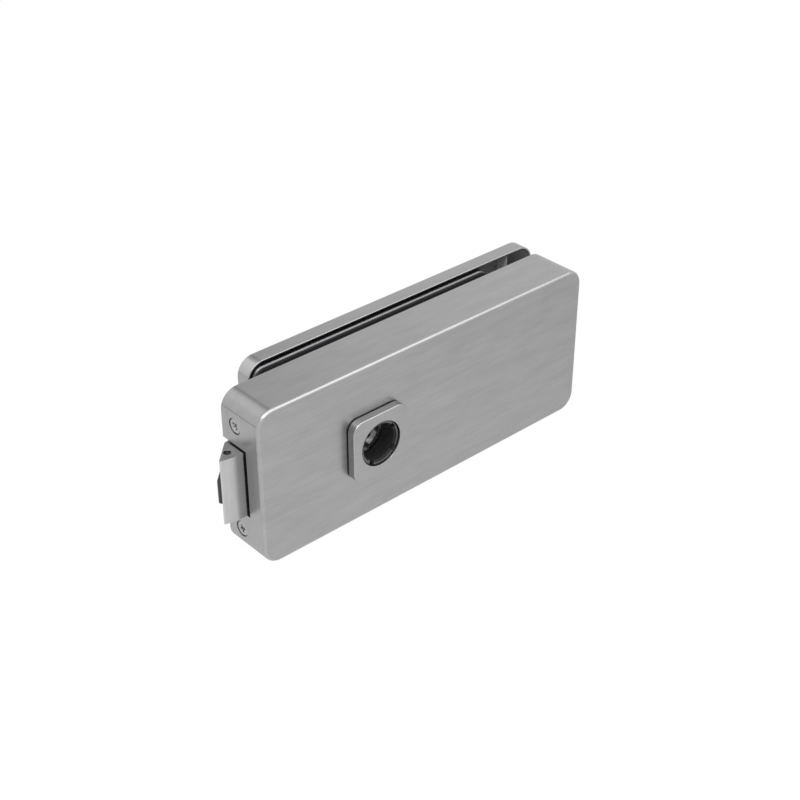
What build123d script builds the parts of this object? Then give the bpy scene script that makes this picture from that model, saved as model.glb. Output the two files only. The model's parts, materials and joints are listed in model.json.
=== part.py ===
from build123d import *
import math
import os

# Glass door lock, clamped on both faces of an 8 mm glass door, all lengths in millimetres.
# X runs from the latch end towards the far end, +Y from the lock case towards the rear cover.
# The origin is where the spindle axis crosses the middle plane of the glass.

# Glass and the gaskets that grip it
glass_thickness = 8.0
gasket_thickness = 0.5
gasket_inset = 0.4
gasket_hole_gap = 0.2

# Clearances: around plates and necks, around pins and screws, around threads, at the journals
fit_gap = 0.2
close_gap = 0.05
thread_gap = 0.1
journal_gap = 0.05
seam_gap = 0.1

# Lock case
case_length = 205.0
case_height = 82.5
case_depth = 26.8
case_wall = 1.5
corner_radius = 9.0
front_edge_radius = 1.8
backset = 66.0

# End plate at the latch end
end_plate_thickness = 3.0
end_plate_side = 6.2
end_screw_inset = 13.05
end_screw_place = 17.1
end_screw_length = 12.0
end_screw_radius = 2.0
end_screw_head_radius = 4.2
end_screw_sink = 0.1

# Cross recess of a screw, as shares of its head's radius, and the lead at its tip
recess_span = 1.25
recess_width = 0.24
recess_depth = 0.38
recess_taper = 12.0
screw_lead = 0.6

# Latch bolt
latch_height = 34.4
latch_front_room = 3.0
latch_throw = 12.6
latch_inner_length = 15.0
latch_rear_margin = 2.9
latch_straight = 5.4
latch_nose_lead = 1.5
latch_nose_radius = 0.5
latch_bevel_root = 1.8
latch_root_step = 0.5
latch_root_length = 0.9
latch_notch_gap = 1.3
latch_slide_gap = 0.3

# Plastic glide set into the latch bevel, held by an upright pin
glide_height = 16.0
glide_proud = 2.9
glide_seat = 2.4
glide_start = 3.0
glide_length = 9.5
glide_tongue_length = 4.7
glide_tongue_depth = 4.8
glide_corner_radius = 1.4
glide_end_chamfer = 0.4
latch_pin_radius = 1.75
latch_pin_sink = 0.5
latch_pin_place_along = 7.5
latch_pin_place_deep = 2.5
pin_chamfer = 0.3

# Latch tail, its rivets, and the spring rod
tail_thickness = 3.0
tail_place = 4.8
tail_grip = 8.0
tail_low = 8.0
tail_step = 12.0
tail_width = 6.5
tail_stop_gap = 0.3
tail_hub_gap = 2.5
tail_bridge = 3.2
tail_fork_width = 4.2
tail_corner_radius = 1.5
rivet_radius = 1.5
rivet_pitch = 12.0
spring_rod_radius = 2.0
spring_rod_drop = 12.5
spring_rod_sink = 6.0
spring_rod_reach = 2.0
rod_chamfer = 0.6

# Base plate and guide blocks
base_plate_thickness = 2.5
block_length = 17.0
block_edge_gap = 6.25
block_lip = 5.5
block_lip_thickness = 1.5
block_chamfer = 1.0
block_screw_radius = 1.5
block_screw_head_radius = 3.0
block_screw_length = 8.0
block_screw_inset = 4.5
block_screw_drop = 6.0
drill_reserve = 1.0

# Mechanism plate, its pillars and their screws, and the spring's abutment
mechanism_plate_thickness = 1.5
mechanism_front_room = 5.3
mechanism_plate_gap = 1.0
mechanism_plate_reach = 34.0
mechanism_plate_edge_gap = 1.75
mechanism_plate_corner = 4.0
pillar_radius = 4.0
pillar_inset = 5.0
pillar_block_gap = 2.0
pillar_tail_gap = 2.0
mechanism_screw_radius = 1.5
mechanism_screw_length = 6.0
mechanism_screw_head_radius = 2.8
mechanism_screw_head_height = 1.6
mechanism_screw_edge = 0.7
mechanism_screw_slot = 0.8
abutment_length = 4.0
abutment_height = 12.0
abutment_depth = 11.0
abutment_chamfer = 1.5
abutment_rod_gap = 0.5

# Follower, turned by the spindle
spindle_square = 8.1
journal_radius = 10.0
hub_radius = 11.5
spring_seat_radius = 10.5
spring_seat_length = 5.4
shoulder_gap = 0.4
journal_sink = 0.5
crown_stand = 0.5
crown_notch_width = 4.0
crown_notch_depth = 1.6
crown_bore_radius = 7.0
arm_thickness = 5.6
nib_radius = 3.0
nib_gap = 0.8
nib_end_stand = 0.6
nib_margin = 1.2
spring_nib_circle = 16.0
spring_nib_radius = 1.6
spring_nib_angle = 45.0

# Return spring and its post
return_wire = 1.2
return_coil_radius = 12.0
return_turns = 3
return_pitch = 1.35
return_leg_length = 6.6
return_leg_gap = 0.1
post_circle = 15.5
post_angle = -27.0
post_radius = 1.6
post_height = 5.0
post_chamfer = 0.4

# Latch spring
latch_wire = 0.8
latch_coil_radius = 3.4
latch_spring_turns = 8
latch_spring_reserve = 4.0
spring_end_gap = 0.2

# Square collars, seals, bushes and clips on both sides
collar_side = 33.0
collar_height = 4.2
collar_corner_radius = 4.6
collar_edge_chamfer = 0.5
collar_bore_radius = 11.75
neck_radius = 13.5
seal_thickness = 0.6
seal_inset = 0.9
bush_recess = 1.6
bush_wall = 2.1
bush_gap = 0.15
bush_length = 9.2
bush_slot_width = 2.4
bush_slot_depth = 1.6
clip_thickness = 0.5
clip_width = 1.1
clip_inset = 0.5
clip_link_width = 0.45
clip_opening = 3.0
clip_opening_angles = (36.0, -38.0)
clip_split_angle = -120.0
clip_tab_turn = 14.0
clip_tab_width = 1.6
clip_tab_reach = 0.5
front_neck_length = 6.0
rear_neck_end_gap = 0.5
nut_radius = 16.5
nut_thickness = 2.5
nut_slot_width = 3.0
nut_slot_depth = 1.6
nut_slots = 4

# Counter plate and clamping
counter_plate_thickness = 3.0
counter_plate_inset = 4.2
counter_plate_far_inset = 32.4
counter_plate_chamfer = 0.4
tongue_width = 12.0
tongue_thickness = 1.5
tongue_engage = 4.0
tongue_end_gap = 0.5
sleeve_radius = 6.0
sleeve_end_gap = 0.4
sleeve_near_inset = 16.2
sleeve_far_inset = 12.6
sleeve_edge_inset = 16.25
sleeve_bush_wall = 2.0
clamp_screw_radius = 2.5
clamp_screw_head_radius = 5.0
clamp_screw_length = 10.0
clamp_hole_gap = 0.25
spindle_sleeve_radius = 13.0
spindle_sleeve_wall = 2.5

# Rear cover and its clip block
cover_depth = 8.4
cover_wall = 1.0
cover_near_inset = 21.6
cover_far_overhang = 1.0
cover_edge_radius = 0.9
clip_block_length = 16.5
clip_block_gap = 0.3
clip_block_recess = 0.3

# Lugs and grub screws that hold the case to the base plate from below
lug_length = 10.0
lug_height = 8.0
lug_depth = 8.0
lug_far_inset = 19.0
lug_spacing = 60.0
grub_radius = 2.0
grub_length = 7.0
grub_sink = 0.2
grub_socket_radius = 1.15
grub_socket_depth = 3.0

# Depth places, from the front of the case to the back of the cover
slot_width = glass_thickness + 2 * gasket_thickness
y_rear = -slot_width / 2
y_rim = slot_width / 2
y_front = y_rear - case_depth
y_back = y_rim + cover_depth
y_base = y_rear - base_plate_thickness
y_mechanism = y_front + case_wall + mechanism_front_room
y_mechanism_rear = y_mechanism + mechanism_plate_thickness
y_latch_rear = y_rear - latch_rear_margin
y_latch_front = y_mechanism_rear + latch_front_room
y_tail = y_latch_front + tail_place
y_tail_rear = y_tail + tail_thickness
y_rod = (y_latch_front + y_latch_rear) / 2
y_lip = y_latch_front - latch_slide_gap
y_block_front = y_lip - block_lip_thickness
y_plate_back = y_rim + counter_plate_thickness
y_sleeve_end = y_rim - sleeve_end_gap

# Depth places of the follower
y_crown = y_mechanism - crown_stand
y_journal_end = y_rear - journal_sink
y_hub_front = y_mechanism_rear + shoulder_gap
y_hub_rear = y_base - shoulder_gap
y_spring_seat = y_hub_rear - spring_seat_length
y_arm_rear = y_hub_front + arm_thickness
y_nib_end = y_tail_rear + nib_end_stand

# Places along the lock
x_end = -backset
x_far = case_length - backset
x_inside = x_end + end_plate_thickness
x_tip = x_end - latch_throw
x_latch_back = x_end + latch_inner_length
x_block_end = x_inside + block_length
x_abutment = x_latch_back + latch_throw + latch_spring_turns * latch_wire + latch_spring_reserve
x_rod_end = x_abutment + abutment_length + spring_rod_reach
x_tail_raise = x_block_end + tail_stop_gap
x_cover_near = x_end + cover_near_inset
x_cover_far = x_far + cover_far_overhang
x_plate_near = x_cover_near + counter_plate_inset
x_plate_far = x_cover_far - counter_plate_far_inset
x_clip_block = x_cover_far - cover_wall - clip_block_gap - clip_block_length

# Heights, radii and places of like pieces
plate_height = case_height - 2 * counter_plate_inset
plate_radius = corner_radius - counter_plate_inset
notch_height = latch_height + 2 * latch_notch_gap
latch_thickness = y_latch_rear - y_latch_front
end_screw_z = case_height / 2 - end_screw_inset
block_inner_z = latch_height / 2 + latch_slide_gap
block_outer_z = case_height / 2 - case_wall - block_edge_gap
block_height = block_outer_z - block_inner_z
block_screw_z = block_outer_z - block_screw_drop
mechanism_plate_height = case_height - 2 * (case_wall + mechanism_plate_edge_gap)
pillar_z = mechanism_plate_height / 2 - pillar_inset
sleeve_z = case_height / 2 - sleeve_edge_inset
tail_top = pillar_z - pillar_radius - pillar_tail_gap
tail_low_edge = hub_radius + tail_hub_gap
slot_half = nib_radius + nib_gap
slot_top = tail_top - tail_bridge
nib_circle = slot_top - slot_half
bush_radius = collar_bore_radius - bush_gap
lever_bore_radius = bush_radius - bush_wall
clip_outer_radius = collar_bore_radius - clip_inset
clip_inner_radius = clip_outer_radius - clip_width
clip_tab_angle = clip_split_angle - clip_tab_turn
key_angles = (*clip_opening_angles, clip_split_angle)
lug_low_z = -case_height / 2 + case_wall + fit_gap
y_lug = y_base - lug_depth / 2
lug_places = (x_far - lug_far_inset - lug_spacing, x_far - lug_far_inset)
latch_nib_place = (0, nib_circle)
spring_nib_turn = math.radians(spring_nib_angle)
spring_nib_place = (
    spring_nib_circle * math.cos(spring_nib_turn),
    spring_nib_circle * math.sin(spring_nib_turn),
)
post_turn = math.radians(post_angle)
post_place = (post_circle * math.cos(post_turn), post_circle * math.sin(post_turn))
rivet_places = [
    (x_latch_back - tail_grip / 2, (tail_step - tail_low) / 2 + offset)
    for offset in (-rivet_pitch / 2, rivet_pitch / 2)
]
sleeve_places = [
    (x, z)
    for x in (x_plate_near + sleeve_near_inset, x_plate_far - sleeve_far_inset)
    for z in (-sleeve_z, sleeve_z)
]
pillar_places = [
    (x, z)
    for x in (x_block_end + pillar_block_gap + pillar_radius, mechanism_plate_reach - pillar_inset)
    for z in (-pillar_z, pillar_z)
]

os.makedirs("parts", exist_ok=True)


def upright(y, turn=0):
    """Plane across the lock at depth y: local x is X, local y is Z, and it faces the front (-Y).

    It can be turned in itself by some degrees, from X towards Z.
    """
    across = math.radians(turn)
    return Plane(
        origin=(0, y, 0), x_dir=(math.cos(across), 0, math.sin(across)), z_dir=(0, -1, 0)
    )


def rearward(x, y, z):
    """Plane at a point that faces the rear (+Y)."""
    return Plane(origin=(x, y, z), x_dir=(1, 0, 0), z_dir=(0, 1, 0))


def endward(x, y, z, turn=0):
    """Plane at a point that faces the latch end (-X), turned in itself by some degrees."""
    across = math.radians(turn)
    return Plane(
        origin=(x, y, z), x_dir=(0, math.cos(across), math.sin(across)), z_dir=(-1, 0, 0)
    )


def rounded_outline(y, left, right, height, radius):
    """Upright rectangle with rounded corners, at depth y."""
    with BuildSketch(upright(y)) as outline:
        with Locations(((left + right) / 2, 0)):
            RectangleRounded(right - left, height, radius)
    return outline.sketch


def countersunk_screw(head_radius, shank_radius, length):
    """Countersunk screw along local Z: its head is flush with z = 0 and its tip is at -length."""
    with BuildPart() as screw:
        with BuildSketch(Plane.XZ):
            with BuildLine():
                Polyline(
                    (0, 0),
                    (head_radius, 0),
                    (shank_radius, shank_radius - head_radius),
                    (shank_radius, screw_lead - length),
                    (shank_radius - screw_lead, -length),
                    (0, -length),
                    close=True,
                )
            make_face()
        revolve(axis=Axis.Z)
        with BuildSketch(Plane.XY):
            Rectangle(recess_span * head_radius, recess_width * head_radius)
            Rectangle(recess_width * head_radius, recess_span * head_radius)
        extrude(amount=-recess_depth * head_radius, taper=recess_taper, mode=Mode.SUBTRACT)
    return screw.part


def coil(wire, radius, pitch, climb, lefthand=False):
    """Round wire wound about local Z, from local X at z = 0 up to z = climb."""
    with BuildPart() as winding:
        with BuildLine() as path:
            Helix(pitch, climb, radius, lefthand=lefthand)
        with BuildSketch(Plane(origin=path.line @ 0, z_dir=path.line % 0)):
            Circle(wire / 2)
        sweep(is_frenet=True)
    return winding.part


def finish(piece, name):
    """Labels a finished piece and writes its file."""
    piece.part.label = name
    export_step(piece.part, "parts/" + name + ".step")


# Case shell: one drawn box, open towards the glass and at the latch end
with BuildPart() as case_shell:
    extrude(rounded_outline(y_rear, x_end, x_far, case_height, corner_radius), amount=case_depth)
    fillet(case_shell.faces().sort_by(Axis.Y)[0].edges(), front_edge_radius)
    extrude(
        rounded_outline(
            y_rear,
            x_end + case_wall,
            x_far - case_wall,
            case_height - 2 * case_wall,
            corner_radius - case_wall,
        ),
        amount=case_depth - case_wall,
        mode=Mode.SUBTRACT,
    )
    with BuildSketch(upright(y_rear)):
        with Locations((x_end, 0)):
            Rectangle(2 * end_plate_thickness, case_height - 2 * end_plate_side)
    extrude(amount=case_depth - front_edge_radius, mode=Mode.SUBTRACT)
    with BuildSketch(upright(y_front)):
        Circle(neck_radius + fit_gap)
    extrude(amount=-case_wall, mode=Mode.SUBTRACT)
    with BuildSketch(Plane.XY.offset(-case_height / 2)):
        with Locations(*[(x, y_lug) for x in lug_places]):
            Circle(grub_radius + thread_gap)
    extrude(amount=case_wall, mode=Mode.SUBTRACT)
finish(case_shell, "case_shell")

# End plate: its ends follow the case's rounded corners, and its notch is open to the rear
with BuildPart() as end_plate:
    with BuildSketch(upright(y_rear)):
        with Locations(((x_end + x_far) / 2, 0)):
            RectangleRounded(case_length, case_height, corner_radius)
        with Locations((x_end, 0)):
            Rectangle(
                2 * end_plate_thickness,
                case_height - 2 * end_plate_side - 2 * seam_gap,
                mode=Mode.INTERSECT,
            )
    extrude(amount=case_depth - front_edge_radius - seam_gap)
    with BuildSketch(upright(y_rear)):
        with Locations((x_end, 0)):
            Rectangle(3 * end_plate_thickness, notch_height)
    extrude(amount=y_rear - y_latch_front + latch_notch_gap, mode=Mode.SUBTRACT)
    with Locations(
        *[
            endward(x_end, y_front + end_screw_place, z)
            for z in (-end_screw_z, end_screw_z)
        ]
    ):
        CounterSinkHole(
            end_screw_radius + thread_gap,
            end_screw_head_radius + thread_gap,
            end_plate_thickness,
            counter_sink_angle=90,
        )
finish(end_plate, "end_plate")

# The two screws that hold the end plate to the guide blocks, as they were last tightened
end_screw = countersunk_screw(end_screw_head_radius, end_screw_radius, end_screw_length)
with BuildPart() as end_plate_screws:
    with Locations(
        *[
            endward(x_end + end_screw_sink, y_front + end_screw_place, z, turn)
            for z, turn in ((-end_screw_z, 20), (end_screw_z, 52))
        ]
    ):
        add(end_screw)
finish(end_plate_screws, "end_plate_screws")

# Base plate: closes the rear of the case, carries the mechanism and the clamping sleeves
base_margin = case_wall + fit_gap
with BuildPart() as base_plate:
    with BuildSketch(upright(y_rear)):
        with Locations(((x_end + x_far) / 2, 0)):
            RectangleRounded(
                case_length - 2 * base_margin,
                case_height - 2 * base_margin,
                corner_radius - base_margin,
            )
        with Locations((x_inside, 0)):
            Rectangle(case_length, case_height, align=(Align.MIN, Align.CENTER), mode=Mode.INTERSECT)
        Circle(journal_radius + journal_gap, mode=Mode.SUBTRACT)
        with Locations(*sleeve_places):
            Circle(sleeve_radius + close_gap, mode=Mode.SUBTRACT)
    extrude(amount=base_plate_thickness)
    with Locations(
        *[
            rearward(x_block_end - block_screw_inset, y_rear, z)
            for z in (-block_screw_z, block_screw_z)
        ]
    ):
        CounterSinkHole(
            block_screw_radius + close_gap,
            block_screw_head_radius + close_gap,
            base_plate_thickness,
            counter_sink_angle=90,
        )
finish(base_plate, "base_plate")

# Guide blocks above and below the latch, each with a lip in front of it
for block_name, side in (("upper_guide_block", 1), ("lower_guide_block", -1)):
    from_inside = (Align.MIN, Align.MIN if side > 0 else Align.MAX)
    with BuildPart() as guide_block:
        with BuildSketch(upright(y_base)):
            with Locations((x_inside, side * block_inner_z)):
                Rectangle(block_length, block_height, align=from_inside)
        extrude(amount=y_base - y_block_front)
        with BuildSketch(upright(y_lip)):
            with Locations((x_inside, side * (block_inner_z - block_lip))):
                Rectangle(block_length, 2 * block_lip, align=from_inside)
        extrude(amount=block_lip_thickness)
        inner_end = guide_block.edges().filter_by(Axis.Y).group_by(Axis.X)[-1]
        chamfer(inner_end, block_chamfer)
        with Locations(endward(x_inside, y_front + end_screw_place, side * end_screw_z)):
            Hole(
                end_screw_radius + thread_gap,
                end_screw_length - end_plate_thickness + drill_reserve,
            )
        with Locations(rearward(x_block_end - block_screw_inset, y_base, side * block_screw_z)):
            Hole(
                block_screw_radius + thread_gap,
                block_screw_length - base_plate_thickness + drill_reserve / 2,
            )
    finish(guide_block, block_name)

# Screws that hold the guide blocks to the base plate
block_screw = countersunk_screw(block_screw_head_radius, block_screw_radius, block_screw_length)
with BuildPart() as guide_block_screws:
    with Locations(
        *[
            rearward(x_block_end - block_screw_inset, y_rear, z)
            for z in (-block_screw_z, block_screw_z)
        ]
    ):
        add(block_screw)
finish(guide_block_screws, "guide_block_screws")

# Mechanism plate, its pillars and its screws
with BuildPart() as mechanism_plate:
    with BuildSketch(upright(y_mechanism_rear)):
        with Locations((x_inside + mechanism_plate_gap, 0)):
            Rectangle(
                mechanism_plate_reach - x_inside - mechanism_plate_gap,
                mechanism_plate_height,
                align=(Align.MIN, Align.CENTER),
            )
    extrude(amount=mechanism_plate_thickness)
    fillet(mechanism_plate.edges().filter_by(Axis.Y), mechanism_plate_corner)
    with BuildSketch(upright(y_mechanism_rear)):
        Circle(journal_radius + journal_gap)
        with Locations(*pillar_places):
            Circle(mechanism_screw_radius + thread_gap)
    extrude(amount=mechanism_plate_thickness, mode=Mode.SUBTRACT)
finish(mechanism_plate, "mechanism_plate")

with BuildPart() as pillars:
    with BuildSketch(upright(y_base)):
        with Locations(*pillar_places):
            Circle(pillar_radius)
    extrude(amount=y_base - y_mechanism_rear)
    with BuildSketch(upright(y_mechanism_rear)):
        with Locations(*pillar_places):
            Circle(mechanism_screw_radius + thread_gap)
    extrude(amount=-mechanism_screw_length, mode=Mode.SUBTRACT)
finish(pillars, "pillars")

with BuildPart() as mechanism_screws:
    with BuildSketch(upright(y_mechanism)):
        with Locations(*pillar_places):
            Circle(mechanism_screw_head_radius)
    extrude(amount=mechanism_screw_head_height)
    fillet(mechanism_screws.faces().group_by(Axis.Y)[0].edges(), mechanism_screw_edge)
    with BuildSketch(upright(y_mechanism)):
        with Locations(*pillar_places):
            Circle(mechanism_screw_radius)
    extrude(amount=-mechanism_screw_length)
    with BuildSketch(upright(y_mechanism - mechanism_screw_head_height)):
        with Locations(*pillar_places):
            Rectangle(2 * mechanism_screw_head_radius, mechanism_screw_slot)
    extrude(amount=-mechanism_screw_slot, mode=Mode.SUBTRACT)
finish(mechanism_screws, "mechanism_screws")

# Abutment that the latch spring pushes against, bored for the spring rod
with BuildPart() as spring_abutment:
    with BuildSketch(upright(y_base)):
        with Locations((x_abutment, -spring_rod_drop)):
            Rectangle(abutment_length, abutment_height, align=(Align.MIN, Align.CENTER))
    extrude(amount=abutment_depth)
    chamfer(
        spring_abutment.faces().sort_by(Axis.Y)[0].edges().filter_by(Axis.X), abutment_chamfer
    )
    with BuildSketch(Plane.YZ.offset(x_abutment)):
        with Locations((y_rod, -spring_rod_drop)):
            Circle(spring_rod_radius + abutment_rod_gap)
    extrude(amount=abutment_length, mode=Mode.SUBTRACT)
finish(spring_abutment, "spring_abutment")

# Bevel frame of the latch: from the nose tip along the rear bevel, and outwards from it
tip = Vector(x_tip, y_latch_front + latch_nose_lead)
bevel_end = Vector(x_end - latch_bevel_root, y_latch_rear - latch_root_step)
along = (bevel_end - tip).normalized()
outward = Vector(-along.Y, along.X)
pin_centre = tip + along * latch_pin_place_along - outward * latch_pin_place_deep
latch_pin_place = (pin_centre.X, pin_centre.Y)


def glide_corners(gap):
    """Plan corners of the glide, grown by a gap: a pad with a tongue that reaches past the pin."""
    start = glide_start - gap
    end = glide_start + glide_length + gap
    tongue_start = latch_pin_place_along - glide_tongue_length / 2 - gap
    tongue_end = latch_pin_place_along + glide_tongue_length / 2 + gap
    seat = glide_seat + gap
    deep = glide_tongue_depth + gap
    corners = (
        (start, glide_proud),
        (start, -seat),
        (tongue_start, -seat),
        (tongue_start, -deep),
        (tongue_end, -deep),
        (tongue_end, -seat),
        (end, -seat),
        (end, glide_proud),
    )
    return [tuple(tip + along * reach + outward * rise)[:2] for reach, rise in corners]


# Latch head: solid bolt with a rear bevel, a pocket for the glide and a slot for the tail
with BuildPart() as latch_head:
    with BuildSketch(Plane.XY.offset(-latch_height / 2)):
        with BuildLine():
            Polyline(
                (x_latch_back, y_latch_front),
                (x_end - latch_straight, y_latch_front),
                (tip.X, tip.Y),
                (bevel_end.X, bevel_end.Y),
                (x_end + latch_root_length, y_latch_rear),
                (x_latch_back, y_latch_rear),
                close=True,
            )
        make_face()
    extrude(amount=latch_height)
    fillet(latch_head.edges().filter_by(Axis.Z).sort_by(Axis.X)[0], latch_nose_radius)
    with BuildSketch(Plane.XY.offset(-glide_height / 2 - close_gap)):
        with BuildLine():
            Polyline(*glide_corners(close_gap), close=True)
        make_face()
    extrude(amount=glide_height + 2 * close_gap, mode=Mode.SUBTRACT)
    with BuildSketch(Plane.XY.offset(-latch_height / 2)):
        with Locations(latch_pin_place):
            Circle(latch_pin_radius + close_gap)
    extrude(amount=latch_height, mode=Mode.SUBTRACT)
    with BuildSketch(upright(y_tail_rear + close_gap)):
        with Locations((x_latch_back, (tail_step - tail_low) / 2)):
            Rectangle(2 * (tail_grip + close_gap), tail_step + tail_low + 2 * close_gap)
    extrude(amount=tail_thickness + 2 * close_gap, mode=Mode.SUBTRACT)
    with BuildSketch(upright(y_latch_rear)):
        with Locations(*rivet_places):
            Circle(rivet_radius + close_gap)
    extrude(amount=latch_thickness, mode=Mode.SUBTRACT)
    with BuildSketch(Plane.YZ.offset(x_latch_back)):
        with Locations((y_rod, -spring_rod_drop)):
            Circle(spring_rod_radius + close_gap)
    extrude(amount=-spring_rod_sink, mode=Mode.SUBTRACT)
finish(latch_head, "latch_head")

# Glide: plastic pad that meets the strike, proud of the bevel and held by the upright pin
with BuildPart() as latch_glide:
    with BuildSketch(Plane.XY.offset(-glide_height / 2)):
        with BuildLine():
            Polyline(*glide_corners(0), close=True)
        make_face()
    extrude(amount=glide_height)
    outer_edges = latch_glide.edges().filter_by(Axis.Z).sort_by(
        Axis((tip.X, tip.Y, 0), (outward.X, outward.Y, 0))
    )[-2:]
    fillet(outer_edges, glide_corner_radius)
    outer_faces = latch_glide.faces().sort_by(Axis((tip.X, tip.Y, 0), (outward.X, outward.Y, 0)))
    chamfer(
        outer_faces[-1].edges().filter_by(Axis.Z, reverse=True),
        glide_end_chamfer,
    )
    with BuildSketch(Plane.XY.offset(-glide_height / 2)):
        with Locations(latch_pin_place):
            Circle(latch_pin_radius + close_gap)
    extrude(amount=glide_height, mode=Mode.SUBTRACT)
finish(latch_glide, "latch_glide")

with BuildPart() as latch_pin:
    with BuildSketch(Plane.XY.offset(-latch_height / 2 + latch_pin_sink)):
        with Locations(latch_pin_place):
            Circle(latch_pin_radius)
    extrude(amount=latch_height - 2 * latch_pin_sink)
    chamfer(latch_pin.edges().filter_by(GeomType.CIRCLE), pin_chamfer)
finish(latch_pin, "latch_pin")

# Latch tail: flat plate from the head back over the follower, with a fork for its nib
with BuildPart() as latch_tail:
    with BuildSketch(upright(y_tail_rear)):
        with BuildLine():
            Polyline(
                (x_latch_back - tail_grip, -tail_low),
                (x_latch_back - tail_grip, tail_step),
                (x_tail_raise, tail_step),
                (x_tail_raise, tail_top),
                (slot_half + tail_fork_width, tail_top),
                (slot_half + tail_fork_width, tail_low_edge),
                (x_tail_raise + tail_width, tail_low_edge),
                (x_latch_back + tail_width, -tail_low),
                close=True,
            )
        make_face()
        with Locations((0, slot_top)):
            Rectangle(2 * slot_half, 2 * tail_top, align=(Align.CENTER, Align.MAX), mode=Mode.SUBTRACT)
        with Locations(*rivet_places):
            Circle(rivet_radius + close_gap, mode=Mode.SUBTRACT)
    extrude(amount=tail_thickness)
    fillet(latch_tail.edges().filter_by(Axis.Y).group_by(Axis.Z)[-1], tail_corner_radius)
finish(latch_tail, "latch_tail")

with BuildPart() as tail_rivets:
    with BuildSketch(upright(y_latch_rear)):
        with Locations(*rivet_places):
            Circle(rivet_radius)
    extrude(amount=latch_thickness)
finish(tail_rivets, "tail_rivets")

with BuildPart() as spring_rod:
    with BuildSketch(Plane.YZ.offset(x_latch_back - spring_rod_sink)):
        with Locations((y_rod, -spring_rod_drop)):
            Circle(spring_rod_radius)
    extrude(amount=x_rod_end - x_latch_back + spring_rod_sink)
    chamfer(spring_rod.edges().filter_by(GeomType.CIRCLE).sort_by(Axis.X)[-1], rod_chamfer)
finish(spring_rod, "spring_rod")

# Latch spring: coil on the rod, between the head and the abutment
spring_climb = x_abutment - x_latch_back - 2 * spring_end_gap - latch_wire
spring_start = x_latch_back + spring_end_gap + latch_wire / 2
latch_coil = coil(latch_wire, latch_coil_radius, spring_climb / latch_spring_turns, spring_climb)
with BuildPart() as latch_spring:
    with Locations(Plane(origin=(spring_start, y_rod, -spring_rod_drop), z_dir=(1, 0, 0))):
        add(latch_coil)
finish(latch_spring, "latch_spring")

# Follower: crown, journals, hub with the latch nib and the spring nib, square hole
with BuildPart() as follower:
    with BuildSketch(upright(y_journal_end)):
        Circle(journal_radius)
    extrude(amount=y_journal_end - y_crown)
    with BuildSketch(upright(y_hub_rear)):
        Circle(spring_seat_radius)
    extrude(amount=y_hub_rear - y_spring_seat)
    with BuildSketch(upright(y_spring_seat)):
        Circle(hub_radius)
    extrude(amount=y_spring_seat - y_hub_front)
    for nib_place, reach in ((latch_nib_place, nib_radius), (spring_nib_place, spring_nib_radius)):
        with BuildSketch(upright(y_arm_rear)):
            with BuildLine():
                CenterArc((0, 0), journal_radius, 0, 360)
                CenterArc(nib_place, reach + nib_margin, 0, 360)
            make_hull()
        extrude(amount=arm_thickness)
    with BuildSketch(upright(y_nib_end)):
        with Locations(latch_nib_place):
            Circle(nib_radius)
    extrude(amount=y_nib_end - y_arm_rear)
    with BuildSketch(upright(y_hub_rear)):
        with Locations(spring_nib_place):
            Circle(spring_nib_radius)
    extrude(amount=y_hub_rear - y_arm_rear)
    with BuildSketch(upright(y_journal_end)):
        Rectangle(spindle_square, spindle_square)
    extrude(amount=y_journal_end - y_crown, mode=Mode.SUBTRACT)
    with BuildSketch(upright(y_crown)):
        Circle(crown_bore_radius)
        Rectangle(crown_notch_width, 2 * journal_radius)
        Rectangle(2 * journal_radius, crown_notch_width)
    extrude(amount=-crown_notch_depth, mode=Mode.SUBTRACT)
finish(follower, "follower")

# Return spring: torsion coil about the follower, from the fixed post to the spring nib
fixed_reach = post_radius + return_wire / 2 + return_leg_gap
moving_reach = spring_nib_radius + return_wire / 2 + return_leg_gap
fixed_angle = post_angle + math.degrees(math.asin(fixed_reach / post_circle))
moving_angle = spring_nib_angle - math.degrees(math.asin(moving_reach / spring_nib_circle))
wound_angle = 360 * return_turns + fixed_angle - moving_angle
wound_climb = return_pitch * wound_angle / 360
y_coil_start = y_hub_rear - return_wire / 2 - return_leg_gap
return_coil = coil(return_wire, return_coil_radius, return_pitch, wound_climb, lefthand=True)
with BuildPart() as return_spring:
    with Locations(upright(y_coil_start, fixed_angle)):
        add(return_coil)
    for angle, climb in ((fixed_angle, 0), (moving_angle, wound_climb)):
        across = upright(y_coil_start - climb, angle)
        leg_root = across.from_local_coords((return_coil_radius - return_wire / 2, 0, 0))
        with BuildSketch(Plane(origin=leg_root, x_dir=across.z_dir, z_dir=across.x_dir)):
            Circle(return_wire / 2)
        extrude(amount=return_leg_length)
finish(return_spring, "return_spring")

with BuildPart() as spring_post:
    with BuildSketch(upright(y_base)):
        with Locations(post_place):
            Circle(post_radius)
    extrude(amount=post_height)
    chamfer(spring_post.faces().sort_by(Axis.Y)[0].edges(), post_chamfer)
finish(spring_post, "spring_post")

# Spindle sleeve through the glass, clamping sleeves and their plastic bushes
with BuildPart() as spindle_sleeve:
    with BuildSketch(upright(y_sleeve_end)):
        Circle(spindle_sleeve_radius)
        Circle(spindle_sleeve_radius - spindle_sleeve_wall, mode=Mode.SUBTRACT)
    extrude(amount=slot_width - sleeve_end_gap)
finish(spindle_sleeve, "spindle_sleeve")

with BuildPart() as clamp_sleeves:
    with BuildSketch(upright(y_sleeve_end)):
        with Locations(*sleeve_places):
            Circle(sleeve_radius)
    extrude(amount=slot_width - sleeve_end_gap + base_plate_thickness)
    with BuildSketch(upright(y_sleeve_end)):
        with Locations(*sleeve_places):
            Circle(clamp_screw_radius + thread_gap)
    extrude(amount=clamp_screw_length, mode=Mode.SUBTRACT)
finish(clamp_sleeves, "clamp_sleeves")

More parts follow.
